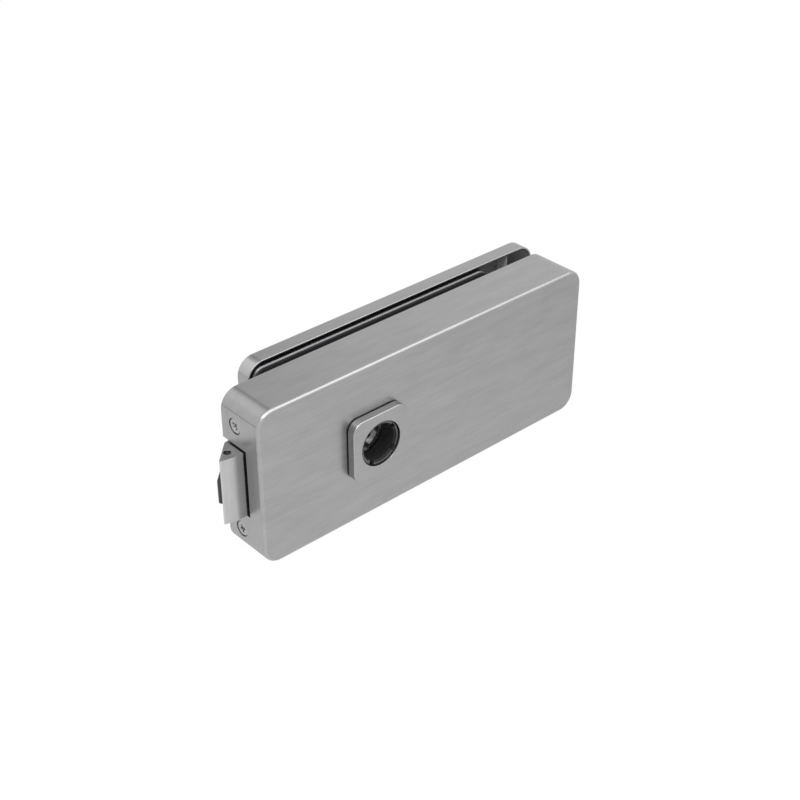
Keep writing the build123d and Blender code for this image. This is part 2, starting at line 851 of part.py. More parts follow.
with BuildPart() as sleeve_bushes:
    with BuildSketch(upright(y_sleeve_end)):
        with Locations(*sleeve_places):
            Circle(sleeve_radius + close_gap + sleeve_bush_wall)
            Circle(sleeve_radius + close_gap, mode=Mode.SUBTRACT)
    extrude(amount=slot_width - sleeve_end_gap)
finish(sleeve_bushes, "sleeve_bushes")

# Gaskets on the base plate and on the counter plate, with holes for the sleeves
for gasket_name, y_gasket in (
    ("front_gasket", y_rear + gasket_thickness),
    ("rear_gasket", y_rim),
):
    gasket_outline = rounded_outline(
        y_gasket,
        x_plate_near + gasket_inset,
        x_plate_far - gasket_inset,
        plate_height - 2 * gasket_inset,
        plate_radius - gasket_inset,
    )
    with BuildPart() as gasket:
        extrude(gasket_outline, amount=gasket_thickness)
        with BuildSketch(upright(y_gasket)):
            Circle(spindle_sleeve_radius + gasket_hole_gap)
            with Locations(*sleeve_places):
                Circle(sleeve_radius + sleeve_bush_wall + gasket_hole_gap)
        extrude(amount=gasket_thickness, mode=Mode.SUBTRACT)
    finish(gasket, gasket_name)

# Counter plate behind the glass, with a tongue for the cover's clip block
plate_outline = rounded_outline(
    y_plate_back, x_plate_near, x_plate_far, plate_height, plate_radius
)
with BuildPart() as counter_plate:
    extrude(plate_outline, amount=counter_plate_thickness)
    chamfer(counter_plate.faces().sort_by(Axis.Y)[0].edges(), counter_plate_chamfer)
    with BuildSketch(upright(y_plate_back)):
        with Locations((x_plate_far - tongue_width, 0)):
            Rectangle(
                x_clip_block + tongue_engage - x_plate_far + tongue_width,
                tongue_width,
                align=(Align.MIN, Align.CENTER),
            )
    extrude(amount=tongue_thickness)
    with BuildSketch(upright(y_plate_back)):
        Circle(neck_radius + close_gap)
    extrude(amount=counter_plate_thickness, mode=Mode.SUBTRACT)
    with Locations(*[rearward(x, y_plate_back, z) for x, z in sleeve_places]):
        CounterSinkHole(
            clamp_screw_radius + clamp_hole_gap,
            clamp_screw_head_radius + close_gap,
            counter_plate_thickness,
            counter_sink_angle=90,
        )
finish(counter_plate, "counter_plate")

clamp_screw = countersunk_screw(clamp_screw_head_radius, clamp_screw_radius, clamp_screw_length)
with BuildPart() as clamp_screws:
    with Locations(*[rearward(x, y_plate_back, z) for x, z in sleeve_places]):
        add(clamp_screw)
finish(clamp_screws, "clamp_screws")

# Rear cover: shallow drawn tray over the counter plate
with BuildPart() as rear_cover:
    extrude(
        rounded_outline(y_back, x_cover_near, x_cover_far, case_height, corner_radius),
        amount=cover_depth,
    )
    fillet(rear_cover.faces().sort_by(Axis.Y)[-1].edges(), cover_edge_radius)
    extrude(
        rounded_outline(
            y_back - cover_wall,
            x_cover_near + cover_wall,
            x_cover_far - cover_wall,
            case_height - 2 * cover_wall,
            corner_radius - cover_wall,
        ),
        amount=cover_depth - cover_wall,
        mode=Mode.SUBTRACT,
    )
    with BuildSketch(upright(y_back)):
        Circle(neck_radius + fit_gap)
    extrude(amount=cover_wall, mode=Mode.SUBTRACT)
finish(rear_cover, "rear_cover")

# Plastic block fixed in the cover's far end, which snaps onto the counter plate's tongue
with BuildPart() as cover_clip_block:
    with BuildSketch(upright(y_back - cover_wall)):
        with Locations(((x_cover_near + x_cover_far) / 2, 0)):
            RectangleRounded(
                x_cover_far - x_cover_near - 2 * cover_wall - 2 * clip_block_gap,
                case_height - 2 * cover_wall - 2 * clip_block_gap,
                corner_radius - cover_wall - clip_block_gap,
            )
        with Locations((x_clip_block, 0)):
            Rectangle(
                2 * clip_block_length,
                case_height,
                align=(Align.MIN, Align.CENTER),
                mode=Mode.INTERSECT,
            )
    extrude(amount=cover_depth - cover_wall - clip_block_recess)
    with BuildSketch(upright(y_plate_back + close_gap)):
        with Locations((x_clip_block, 0)):
            Rectangle(2 * (tongue_engage + tongue_end_gap), tongue_width + 2 * close_gap)
    extrude(amount=tongue_thickness + 2 * close_gap, mode=Mode.SUBTRACT)
finish(cover_clip_block, "cover_clip_block")

# Square collar, seal, guide bush and clip on each side, worked from the face they stand on
front_side = Plane(origin=(0, y_front, 0), x_dir=(1, 0, 0), z_dir=(0, -1, 0))
rear_side = Plane(origin=(0, y_back, 0), x_dir=(-1, 0, 0), z_dir=(0, 1, 0))
for side_name, side, neck_length in (
    ("front", front_side, front_neck_length),
    ("rear", rear_side, cover_depth - rear_neck_end_gap),
):
    face_level = seal_thickness + collar_height
    bush_level = face_level - bush_recess
    outwards = Axis(side.origin, side.z_dir)

    with BuildPart() as collar:
        with BuildSketch(side.offset(seal_thickness)):
            RectangleRounded(collar_side, collar_side, collar_corner_radius)
        extrude(amount=collar_height)
        chamfer(collar.faces().sort_by(outwards)[-1].edges(), collar_edge_chamfer)
        with BuildSketch(side.offset(seal_thickness)):
            Circle(neck_radius)
        extrude(amount=-(seal_thickness + neck_length))
        with BuildSketch(side.offset(face_level)):
            Circle(collar_bore_radius)
        extrude(amount=-(face_level + neck_length), mode=Mode.SUBTRACT)
    finish(collar, side_name + "_collar")

    with BuildPart() as seal:
        with BuildSketch(side):
            RectangleRounded(
                collar_side - 2 * seal_inset,
                collar_side - 2 * seal_inset,
                collar_corner_radius - seal_inset,
            )
            Circle(neck_radius + fit_gap, mode=Mode.SUBTRACT)
        extrude(amount=seal_thickness)
    finish(seal, side_name + "_collar_seal")

    with BuildPart() as bush:
        with BuildSketch(side.offset(bush_level)):
            Circle(bush_radius)
            Circle(lever_bore_radius, mode=Mode.SUBTRACT)
        extrude(amount=-bush_length)
        with BuildSketch(side.offset(bush_level)):
            for angle in key_angles:
                with PolarLocations(bush_radius, 1, start_angle=angle):
                    Rectangle(3 * bush_wall, bush_slot_width)
        extrude(amount=-bush_slot_depth, mode=Mode.SUBTRACT)
    finish(bush, side_name + "_bush")

    with BuildPart() as clip:
        with BuildSketch(side.offset(bush_level)):
            Circle(clip_outer_radius)
            Circle(clip_inner_radius, mode=Mode.SUBTRACT)
            for angle in clip_opening_angles:
                with PolarLocations(clip_inner_radius, 1, start_angle=angle):
                    Rectangle(
                        2 * (clip_width - clip_link_width), clip_opening, mode=Mode.SUBTRACT
                    )
            with PolarLocations(clip_inner_radius, 1, start_angle=clip_split_angle):
                Rectangle(3 * clip_width, clip_opening, mode=Mode.SUBTRACT)
            with PolarLocations(clip_inner_radius, 1, start_angle=clip_tab_angle):
                Rectangle(2 * clip_tab_reach, clip_tab_width)
        extrude(amount=clip_thickness)
    finish(clip, side_name + "_bush_clip")

# Round nut that holds the front collar to the case
with BuildPart() as front_collar_nut:
    with BuildSketch(front_side.offset(-case_wall)):
        Circle(nut_radius)
        Circle(neck_radius + close_gap, mode=Mode.SUBTRACT)
        with PolarLocations(nut_radius, nut_slots):
            Rectangle(2 * nut_slot_depth, nut_slot_width, mode=Mode.SUBTRACT)
    extrude(amount=-nut_thickness)
finish(front_collar_nut, "front_collar_nut")

# Lugs on the base plate and the grub screws that hold the case to them from below
with BuildPart() as case_lugs:
    with BuildSketch(upright(y_base)):
        with Locations(*[(x, lug_low_z) for x in lug_places]):
            Rectangle(lug_length, lug_height, align=(Align.CENTER, Align.MIN))
    extrude(amount=lug_depth)
    with BuildSketch(Plane.XY.offset(lug_low_z)):
        with Locations(*[(x, y_lug) for x in lug_places]):
            Circle(grub_radius + thread_gap)
    extrude(amount=lug_height, mode=Mode.SUBTRACT)
finish(case_lugs, "case_lugs")

with BuildPart() as case_grub_screws:
    with BuildSketch(Plane.XY.offset(-case_height / 2 + grub_sink)):
        with Locations(*[(x, y_lug) for x in lug_places]):
            Circle(grub_radius)
    extrude(amount=grub_length)
    with BuildSketch(Plane.XY.offset(-case_height / 2 + grub_sink)):
        with Locations(*[(x, y_lug) for x in lug_places]):
            RegularPolygon(grub_socket_radius, 6)
    extrude(amount=grub_socket_depth, mode=Mode.SUBTRACT)
finish(case_grub_screws, "case_grub_screws")
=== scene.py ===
import json
import math

import bmesh
import bpy
from bpy.props import FloatProperty, FloatVectorProperty, IntProperty, PointerProperty
from bpy.types import Operator, Panel, PropertyGroup
from mathutils import Matrix, Quaternion, Vector


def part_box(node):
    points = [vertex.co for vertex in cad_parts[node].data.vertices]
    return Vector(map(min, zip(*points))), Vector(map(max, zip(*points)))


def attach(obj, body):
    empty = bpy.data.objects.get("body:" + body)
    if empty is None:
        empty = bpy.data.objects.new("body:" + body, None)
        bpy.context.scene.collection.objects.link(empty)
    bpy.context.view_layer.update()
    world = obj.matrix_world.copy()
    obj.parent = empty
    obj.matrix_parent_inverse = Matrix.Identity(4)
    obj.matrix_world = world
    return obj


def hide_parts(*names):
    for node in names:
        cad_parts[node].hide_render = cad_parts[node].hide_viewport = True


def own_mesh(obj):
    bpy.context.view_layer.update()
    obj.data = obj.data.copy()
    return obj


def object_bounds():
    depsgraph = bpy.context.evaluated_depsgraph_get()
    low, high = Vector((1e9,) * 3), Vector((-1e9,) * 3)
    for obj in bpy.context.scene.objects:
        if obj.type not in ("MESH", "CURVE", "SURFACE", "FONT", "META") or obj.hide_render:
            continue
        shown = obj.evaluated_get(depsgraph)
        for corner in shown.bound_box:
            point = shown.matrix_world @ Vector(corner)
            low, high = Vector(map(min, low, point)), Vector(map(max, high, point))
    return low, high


bl_info = {
    "name": "Glass Door Lock",
    "version": (1, 0, 0),
    "blender": (4, 5, 0),
    "location": "3D View > Sidebar > Door Lock",
    "description": "Finishes a latch lock for glass doors and sets it in a plain studio",
    "category": "Object",
}

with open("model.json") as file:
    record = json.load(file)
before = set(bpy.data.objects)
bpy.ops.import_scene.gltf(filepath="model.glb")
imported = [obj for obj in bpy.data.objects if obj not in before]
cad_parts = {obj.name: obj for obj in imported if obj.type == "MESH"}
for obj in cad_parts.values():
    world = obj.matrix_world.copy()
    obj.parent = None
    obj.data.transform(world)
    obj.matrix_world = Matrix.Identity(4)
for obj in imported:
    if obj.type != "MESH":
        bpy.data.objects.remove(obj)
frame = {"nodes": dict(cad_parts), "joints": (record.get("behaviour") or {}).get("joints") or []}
cad_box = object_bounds()

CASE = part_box("case_shell")
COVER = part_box("rear_cover")
END_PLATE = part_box("end_plate")
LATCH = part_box("latch_head")
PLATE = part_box("counter_plate")

# Gap above and below the end plate
END_SEAM = 0.00014


# Shader expressions

class Shade:
    """A shader socket that can be added to, multiplied and so on, each adding one Math node."""

    def __init__(self, tree, socket):
        self.tree = tree
        self.socket = socket

    def node(self, kind, settings=None, **inputs):
        """Adds a node of a kind with its settings and inputs, and gives the node."""
        made = self.tree.nodes.new(kind)
        for name, value in (settings or {}).items():
            setattr(made, name, value)
        for name, value in inputs.items():
            self.join(made.inputs[slot_name(made, name)], value)
        return made

    def join(self, target, value):
        """Links a shade to a socket, or writes a plain value into it."""
        if isinstance(value, Shade):
            self.tree.links.new(value.socket, target)
        else:
            target.default_value = value

    def out(self, made, name=0):
        """The named output of a node, as a shade."""
        return Shade(self.tree, made.outputs[name])

    def math(self, operation, *values):
        """One Math node on this shade and others, or on plain numbers."""
        made = self.tree.nodes.new("ShaderNodeMath")
        made.operation = operation
        for target, value in zip(made.inputs, values):
            self.join(target, value)
        return self.out(made)

    def __add__(self, other):
        return self.math("ADD", self, other)

    def __radd__(self, other):
        return self.math("ADD", other, self)

    def __sub__(self, other):
        return self.math("SUBTRACT", self, other)

    def __rsub__(self, other):
        return self.math("SUBTRACT", other, self)

    def __mul__(self, other):
        return self.math("MULTIPLY", self, other)

    def __rmul__(self, other):
        return self.math("MULTIPLY", other, self)

    def __abs__(self):
        return self.math("ABSOLUTE", self)

    def clipped(self):
        """This shade kept between 0 and 1."""
        made = self.math("ADD", self, 0.0)
        made.socket.node.use_clamp = True
        return made

    def rise(self, low, high):
        """A smooth step from 0 at low to 1 at high."""
        made = self.node("ShaderNodeMapRange", {"interpolation_type": "SMOOTHSTEP"})
        for name, value in (("Value", self), ("From Min", low), ("From Max", high)):
            self.join(made.inputs[name], value)
        return self.out(made)


def slot_name(made, word):
    """The socket name that a keyword means: base_color means Base Color."""
    names = {socket.name.replace(" ", "_").lower(): socket.name for socket in made.inputs}
    return names.get(word, word)


class Finish:
    """A material with one Principled shader, and the few textures that finishes are built from."""

    def __init__(self, name):
        self.material = bpy.data.materials.new(name)
        self.material.use_nodes = True
        self.tree = self.material.node_tree
        self.shader = self.tree.nodes["Principled BSDF"]
        place = self.tree.nodes.new("ShaderNodeTexCoord")
        self.root = Shade(self.tree, place.outputs["Object"])
        self.facing = Shade(self.tree, place.outputs["Normal"])

    def axes(self, shade):
        """The X, Y and Z of a vector shade."""
        split = self.root.node("ShaderNodeSeparateXYZ", Vector=shade)
        return [self.root.out(split, name) for name in ("X", "Y", "Z")]

    def stretched(self, scale):
        """Object coordinates in metres, multiplied by a scale along each axis."""
        made = self.root.node("ShaderNodeMapping", {"vector_type": "POINT"}, Vector=self.root)
        made.inputs["Scale"].default_value = scale
        return self.root.out(made)

    def noise(self, place, detail=2.0, roughness=0.5):
        """Noise from 0 to 1 at a place, its largest patches about one unit wide."""
        made = self.root.node("ShaderNodeTexNoise", Vector=place)
        made.inputs["Scale"].default_value = 1.0
        made.inputs["Detail"].default_value = detail
        made.inputs["Roughness"].default_value = roughness
        return self.root.out(made, "Fac")

    def blend(self, share, first, second):
        """Two colours mixed by a share, through the colour sockets of a Mix node."""
        made = self.root.node("ShaderNodeMix", {"data_type": "RGBA"})
        for socket, value in ((0, share), (6, first), (7, second)):
            self.root.join(made.inputs[socket], value)
        return self.root.out(made, 2)

    def tint(self, colour, share):
        """A colour made darker or lighter by a share around 1."""
        light = four([c * 2.0 for c in colour])
        return self.blend((share * 0.5).clipped(), four((0.0, 0.0, 0.0)), light)

    def relief(self, height, depth):
        """Feeds a height through a Bump node into the shader's Normal, depth in metres."""
        made = self.root.node("ShaderNodeBump")
        made.inputs["Distance"].default_value = depth
        self.root.join(made.inputs["Height"], height)
        self.tree.links.new(made.outputs["Normal"], self.shader.inputs["Normal"])

    def set(self, **values):
        """Writes or links the shader's own sockets by name."""
        for word, value in values.items():
            self.root.join(self.shader.inputs[slot_name(self.shader, word)], value)


def four(colour):
    """A colour property as the four numbers that a socket takes."""
    return (colour[0], colour[1], colour[2], 1.0)


# Finishes of the lock

def satin_steel(name, colour, roughness, grain, along="X", edge_highlight_gain=0.12, raw_inside=None):
    """Stainless steel brushed along an axis, and across it where that axis meets the surface, with a
    painted highlight on its rounded edges.
    """
    finish = Finish(name)
    fine, long = 2600.0, 34.0
    cloud_fine, cloud_long = 170.0, 48.0
    axis = "XYZ".index(along)
    crossing = 0 if along == "Z" else 2

    def brushed(across, lengthways, which):
        """A scale for noise drawn out along one axis."""
        return [lengthways if each == which else across for each in range(3)]

    lines = finish.noise(finish.stretched(brushed(fine, long, axis)), 3.0, 0.6)
    cross_lines = finish.noise(finish.stretched(brushed(fine, long, crossing)), 3.0, 0.6)
    facing = finish.axes(finish.facing)
    ends_on = abs(facing[axis]).rise(0.86, 0.97)
    streak = lines + ends_on * (cross_lines - lines)
    wide = finish.noise(finish.stretched(brushed(fine * 0.32, long * 0.32, axis)), 2.0, 0.6)
    cloud = finish.noise(finish.stretched(brushed(cloud_fine, cloud_long, axis)), 3.0, 0.65)
    # Faces turned half-way between the front or rear and the top, bottom or ends are the rounded
    # edges; they get a lighter colour, a painted highlight.
    ny = facing[1]
    sideways = (1.0 - ny * ny).clipped()
    painted_edge_highlight = abs(ny) * sideways.math("SQRT", sideways) * 2.0
    shade = 1.0 + (streak - 0.5) * 0.30 + (wide - 0.5) * 0.08 + (cloud - 0.5) * 0.26
    shade = shade + painted_edge_highlight.rise(0.35, 0.95) * edge_highlight_gain
    rough = roughness + (streak - 0.5) * 0.16 + (cloud - 0.5) * 0.05
    if raw_inside:
        inside = within_shell(finish, *raw_inside)
        raw_shade, raw_roughness = 1.25, 0.62
        shade = shade + inside * (raw_shade - shade)
        rough = rough + inside * (raw_roughness - rough)
    finish.set(base_color=finish.tint(colour, shade), metallic=1.0, roughness=rough.clipped())
    finish.relief(streak, grain)
    return finish.material


def within_shell(finish, shell, wall):
    """A shade that is 1 on the inner side of a drawn shell open at the front, and 0 outside."""
    low, high = shell
    skin, soft = wall * 0.6, wall * 0.2
    x, y, z = finish.axes(finish.root)
    inside = 1.0
    for depth in (x - low.x, high.x - x, high.y - y, z - low.z, high.z - z):
        inside = inside * (depth - skin).rise(0.0, soft)
    return inside


def plain_steel(name, colour, roughness, speck=1400.0, grain=0.000004):
    """Plated or machined steel with a fine even speckle and faint clouds."""
    finish = Finish(name)
    fine = finish.noise(finish.stretched((speck,) * 3), 2.0, 0.6)
    cloud = finish.noise(finish.stretched((90.0,) * 3), 3.0, 0.5)
    finish.set(
        base_color=finish.tint(colour, 1.0 + (fine - 0.5) * 0.12 + (cloud - 0.5) * 0.16),
        metallic=1.0,
        roughness=(roughness + (cloud - 0.5) * 0.16).clipped(),
    )
    finish.relief(fine, grain)
    return finish.material


def turned_steel(name, colour, roughness, pitch=0.00045):
    """Machined steel with turning rings about the spindle axis."""
    finish = Finish(name)
    x, _, z = finish.axes(finish.root)
    square = x * x + z * z
    turns = square.math("SQRT", square) * (2 * math.pi / pitch)
    rings = turns.math("SINE", turns)
    cloud = finish.noise(finish.stretched((160.0,) * 3), 3.0, 0.6)
    finish.set(
        base_color=finish.tint(colour, 1.0 + rings * 0.05 + (cloud - 0.5) * 0.5),
        metallic=1.0,
        roughness=(roughness + (cloud - 0.5) * 0.3).clipped(),
    )
    finish.relief(rings * 0.5 + cloud, 0.00001)
    return finish.material


def moulded_plastic(name, colour, roughness, specular=0.5, grain=0.000012):
    """Black moulded plastic with a fine spark-eroded grain."""
    finish = Finish(name)
    finish.shader.inputs["Specular IOR Level"].default_value = specular
    fine = finish.noise(finish.stretched((2200.0,) * 3), 2.0, 0.5)
    cloud = finish.noise(finish.stretched((120.0,) * 3), 2.0, 0.5)
    finish.set(
        base_color=finish.tint(colour, 1.0 + (cloud - 0.5) * 0.5),
        roughness=(roughness + (fine - 0.5) * 0.2).clipped(),
    )
    finish.relief(fine, grain)
    return finish.material


def block_plastic(name, colour, painted_light):
    """Black plastic, with a light colour painted on the end that faces the latch: painted light, not
    a separate part.
    """
    finish = Finish(name)
    fine = finish.noise(finish.stretched((2200.0,) * 3), 2.0, 0.5)
    # Painted light: faces turned towards the latch end get the light colour.
    on_painted_light = (0.0 - finish.axes(finish.facing)[0]).rise(0.7, 0.9)
    shade = 1.0 + (fine - 0.5) * 0.4
    finish.set(
        base_color=finish.blend(on_painted_light, finish.tint(colour, shade), finish.tint(painted_light, shade)),
        roughness=(0.45 + (fine - 0.5) * 0.2).clipped(),
    )
    finish.relief(fine, 0.00001)
    return finish.material


def dull_rubber(name, colour):
    """Black rubber sheet, matt, with a fine grain."""
    finish = Finish(name)
    fine = finish.noise(finish.stretched((1500.0,) * 3), 3.0, 0.6)
    finish.set(
        base_color=finish.tint(colour, 1.0 + (fine - 0.5) * 0.8),
        roughness=0.8,
    )
    finish.relief(fine, 0.00003)
    return finish.material


def worn(name):
    """The named finish, made the first time that a piece asks for it."""
    ready = bpy.data.materials.get(name)
    if ready:
        return ready
    looks = bpy.context.scene.lock_looks
    satin = (satin_steel, looks.steel, looks.steel_roughness, looks.grain)
    cover = (COVER, bpy.context.scene.lock_sizes.cover_wall)
    makers = {
        "Satin steel": satin,
        "Satin steel upright": (*satin, "Z"),
        # The 0.12 and 0.25 below set how strong the painted highlight on rounded edges is.
        "Cover steel": (*satin, "X", 0.12, cover),
        "Latch steel": (satin_steel, looks.latch, looks.latch_roughness, looks.grain, "Z", 0.25),
        "Screw steel": (plain_steel, looks.screw, 0.28),
        # The pin's dark colour is painted shade, standing in for the shade inside its hole.
        "Dark pin": (plain_steel, looks.pin, 0.5),
        "Clip steel": (plain_steel, looks.clip, 0.45),
        "Plated steel": (plain_steel, looks.plated, 0.38),
        "Spring wire": (plain_steel, looks.follower, 0.3),
        "Follower steel": (turned_steel, looks.follower, 0.32),
        "Black plastic": (moulded_plastic, looks.plastic, 0.42),
        "Bush plastic": (moulded_plastic, looks.plastic, 0.55, 0.22),
        # The clip block's light end is painted light.
        "Clip block plastic": (block_plastic, looks.plastic, looks.painted_light),
        "Rubber": (dull_rubber, looks.rubber),
    }
    make, *values = makers[name]
    return make(name, *values)


# Shapes

def box_shape(low, high):
    """A box between two corners."""
    bm = bmesh.new()
    bmesh.ops.create_cube(bm, size=1.0)
    low, high = Vector(low), Vector(high)
    bmesh.ops.scale(bm, vec=high - low, verts=bm.verts)
    bmesh.ops.translate(bm, vec=(low + high) / 2, verts=bm.verts)
    return bm


def edges_along(bm, axis):
    """The straight edges that run along an axis, 0 for X, 1 for Y and 2 for Z."""
    return [e for e in bm.edges if abs((e.verts[0].co - e.verts[1].co).normalized()[axis]) > 0.999]


def edges_at(bm, axis, level):
    """The edges that lie in a plane across an axis."""
    return [e for e in bm.edges if all(abs(v.co[axis] - level) < 1e-6 for v in e.verts)]


def round_edges(bm, edges, radius, segments):
    """Rounds edges of a shape to a radius."""
    bmesh.ops.bevel(
        bm, geom=edges, offset=radius, offset_type="OFFSET", segments=segments, profile=0.5,
        affect="EDGES", material=-1,
    )


def rounded_box(low, high, corner, segments=14):
    """A box whose four edges along Y are rounded, as the outline of the case is."""
    bm = box_shape(low, high)
    round_edges(bm, edges_along(bm, 1), corner, segments)
    return bm


TO_AXIS = {
    "X": Matrix.Rotation(math.pi / 2, 4, "Y"),
    "-X": Matrix.Rotation(-math.pi / 2, 4, "Y"),
    "Y": Matrix.Rotation(-math.pi / 2, 4, "X"),
    "-Y": Matrix.Rotation(math.pi / 2, 4, "X"),
    "Z": Matrix.Identity(4),
}


def placed(bm, axis, centre):
    """Turns a shape made along Z to run along an axis, and moves it to a centre."""
    bmesh.ops.transform(bm, matrix=Matrix.Translation(centre) @ TO_AXIS[axis], verts=bm.verts)
    return bm


def drum(axis, centre, length, radius, end_radius=None, steps=72):
    """A round bar, or a cone with an end radius, that starts at a centre and runs along an axis."""
    bm = bmesh.new()
    bmesh.ops.create_cone(
        bm, cap_ends=True, cap_tris=False, segments=steps, radius1=radius,
        radius2=radius if end_radius is None else end_radius, depth=length,
    )
    bmesh.ops.translate(bm, vec=(0, 0, length / 2), verts=bm.verts)
    return placed(bm, axis, centre)


def turned(profile, axis, centre, closed=False, steps=72):
    """A profile of radius and level points, spun round an axis that starts at a centre."""
    bm = bmesh.new()
    points = [bm.verts.new((radius, 0, level)) for radius, level in profile]
    lines = [bm.edges.new(pair) for pair in zip(points, points[1:])]
    if closed:
        lines.append(bm.edges.new((points[-1], points[0])))
    bmesh.ops.spin(
        bm, geom=points + lines, cent=(0, 0, 0), axis=(0, 0, 1), angle=2 * math.pi,
        steps=steps, use_merge=True,
    )
    bmesh.ops.remove_doubles(bm, verts=bm.verts, dist=1e-7)
    bmesh.ops.recalc_face_normals(bm, faces=bm.faces)
    return placed(bm, axis, centre)


def trimmed(bm, point, normal):
    """Cuts off what lies past a plane and closes the cut."""
    cut = bmesh.ops.bisect_plane(
        bm, geom=bm.verts[:] + bm.edges[:] + bm.faces[:], dist=1e-8, plane_co=point,
        plane_no=normal, clear_outer=True,
    )
    rim = [each for each in cut["geom_cut"] if isinstance(each, bmesh.types.BMEdge)]
    bmesh.ops.edgeloop_fill(bm, edges=rim)
    return bm


def prism(corners, low, high):
    """A flat outline of X and Y corners, raised along Z from low to high."""
    bm = bmesh.new()
    outline = bm.faces.new([bm.verts.new((x, y, low)) for x, y in corners])
    raised = bmesh.ops.extrude_face_region(bm, geom=[outline])
    tops = [each for each in raised["geom"] if isinstance(each, bmesh.types.BMVert)]
    bmesh.ops.translate(bm, vec=(0, 0, high - low), verts=tops)
    bmesh.ops.recalc_face_normals(bm, faces=bm.faces)
    return bm


def as_object(name, bm):
    """Puts a shape into the scene as an object at the origin."""
    mesh = bpy.data.meshes.new(name)
    bm.to_mesh(mesh)
    bm.free()
    made = bpy.data.objects.new(name, mesh)
    bpy.context.scene.collection.objects.link(made)
    return made


def worked(name, bm, joined=(), cut=()):
    """A shape with others joined to it and others cut out of it, as a finished mesh."""
    made = as_object(name, bm)
    tools = []
    for operation, shapes in (("UNION", joined), ("DIFFERENCE", cut)):
        for shape in shapes:
            tool = as_object(name + " tool", shape)
            change = made.modifiers.new("Cut", "BOOLEAN")
            change.operation = operation
            change.solver = "EXACT"
            change.object = tool
            tools.append(tool)
    view = bpy.context.evaluated_depsgraph_get()
    mesh = bpy.data.meshes.new_from_object(made.evaluated_get(view))
    if not mesh.polygons:
        raise RuntimeError(name + " lost its shape while it was cut")
    made.modifiers.clear()
    rough, made.data = made.data, mesh
    bpy.data.meshes.remove(rough)
    mesh.name = name
    for tool in tools:
        mesh = tool.data
        bpy.data.objects.remove(tool)
        bpy.data.meshes.remove(mesh)
    return made


def mark_edges(mesh, crease, kept):
    """Picks the edges to break, and leaves creases and the kept edges sharp."""
    bm = bmesh.new()
    bm.from_mesh(mesh)
    weights = bm.edges.layers.float.new("bevel_weight_edge")
    for edge in bm.edges:
        angle = edge.calc_face_angle(0.0)
        broken = angle > math.radians(32) and not (kept and kept(edge))
        edge[weights] = 1.0 if broken else 0.0
        edge.smooth = broken or angle < math.radians(crease)
    for face in bm.faces:
        face.smooth = True
    bm.to_mesh(mesh)
    bm.free()


def completed(piece, node, body, finish, edge=0.00012, segments=2, crease=32, kept=None):
    """Breaks a piece's sharp edges, gives it its finish and lets it stand for a node."""
    mesh = piece.data
    mark_edges(mesh, crease, kept)
    mesh.materials.clear()
    mesh.materials.append(worn(finish))
    soft = piece.modifiers.new("Broken edges", "BEVEL")
    soft.width = edge
    soft.segments = segments
    soft.limit_method = "WEIGHT"
    soft.use_clamp_overlap = True
    soft.miter_outer = "MITER_ARC"
    flat = piece.modifiers.new("Flat faces", "WEIGHTED_NORMAL")
    flat.mode = "FACE_AREA_WITH_ANGLE"
    flat.weight = 60
    flat.keep_sharp = True
    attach(piece, body)
    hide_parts(node)
    return piece


def dress(node, finish):
    """Gives a carried-over node its finish."""
    mesh = frame["nodes"][node].data
    mesh.materials.clear()
    mesh.materials.append(worn(finish))


# Settings

LENGTH = {"subtype": "DISTANCE", "unit": "LENGTH", "min": 0.0, "precision": 5}


class LockSizes(PropertyGroup):
    """Sizes that the outer pieces are shaped with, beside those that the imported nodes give."""

    corner: FloatProperty(
        name="Case corner", description="Radius of the four corners of the case and the cover",
        default=0.009, **LENGTH,
    )
    front_edge: FloatProperty(
        name="Front edge", description="Radius of the edge round the front of the case",
        default=0.0018, **LENGTH,
    )
    case_wall: FloatProperty(
        name="Case wall", description="Thickness of the drawn case", default=0.0015, **LENGTH,
    )
    cover_wall: FloatProperty(
        name="Cover wall", description="Thickness of the rear cover", default=0.001, **LENGTH,
    )
    cover_edge: FloatProperty(
        name="Cover edge", description="Radius of the edge round the rear of the cover",
        default=0.0009, **LENGTH,
    )
    neck: FloatProperty(
        name="Neck hole", description="Radius of the holes for the collar necks",
        default=0.0137, **LENGTH,
    )
    screw_height: FloatProperty(
        name="End screw height", description="Height of the end plate's screws over its middle",
        default=0.0282, **LENGTH,
    )
    screw_depth: FloatProperty(
        name="End screw depth", description="Place of those screws behind the front of the case",
        default=0.0171, **LENGTH,
    )
    spring_wire: FloatProperty(
        name="Latch spring wire", description="Diameter of the latch spring's wire",
        default=0.0008, **LENGTH,
    )
    spring_turns: IntProperty(
        name="Latch spring turns", description="Turns of the latch spring",
        default=8, min=3, max=30,
    )
    collar_corner: FloatProperty(
        name="Collar corner", description="Radius of the corners of the square collars",
        default=0.0058, **LENGTH,
    )
    collar_edge: FloatProperty(
        name="Collar edge", description="Radius of the edge round the face of a collar",
        default=0.0006, **LENGTH,
    )
    collar_height: FloatProperty(
        name="Collar height", description="Thickness of the square part of a collar",
        default=0.0042, **LENGTH,
    )
    collar_neck: FloatProperty(
        name="Collar neck", description="Radius of the neck of a collar",
        default=0.0135, **LENGTH,
    )
    collar_bore: FloatProperty(
        name="Collar bore", description="Radius of the bore of a collar",
        default=0.01175, **LENGTH,
    )


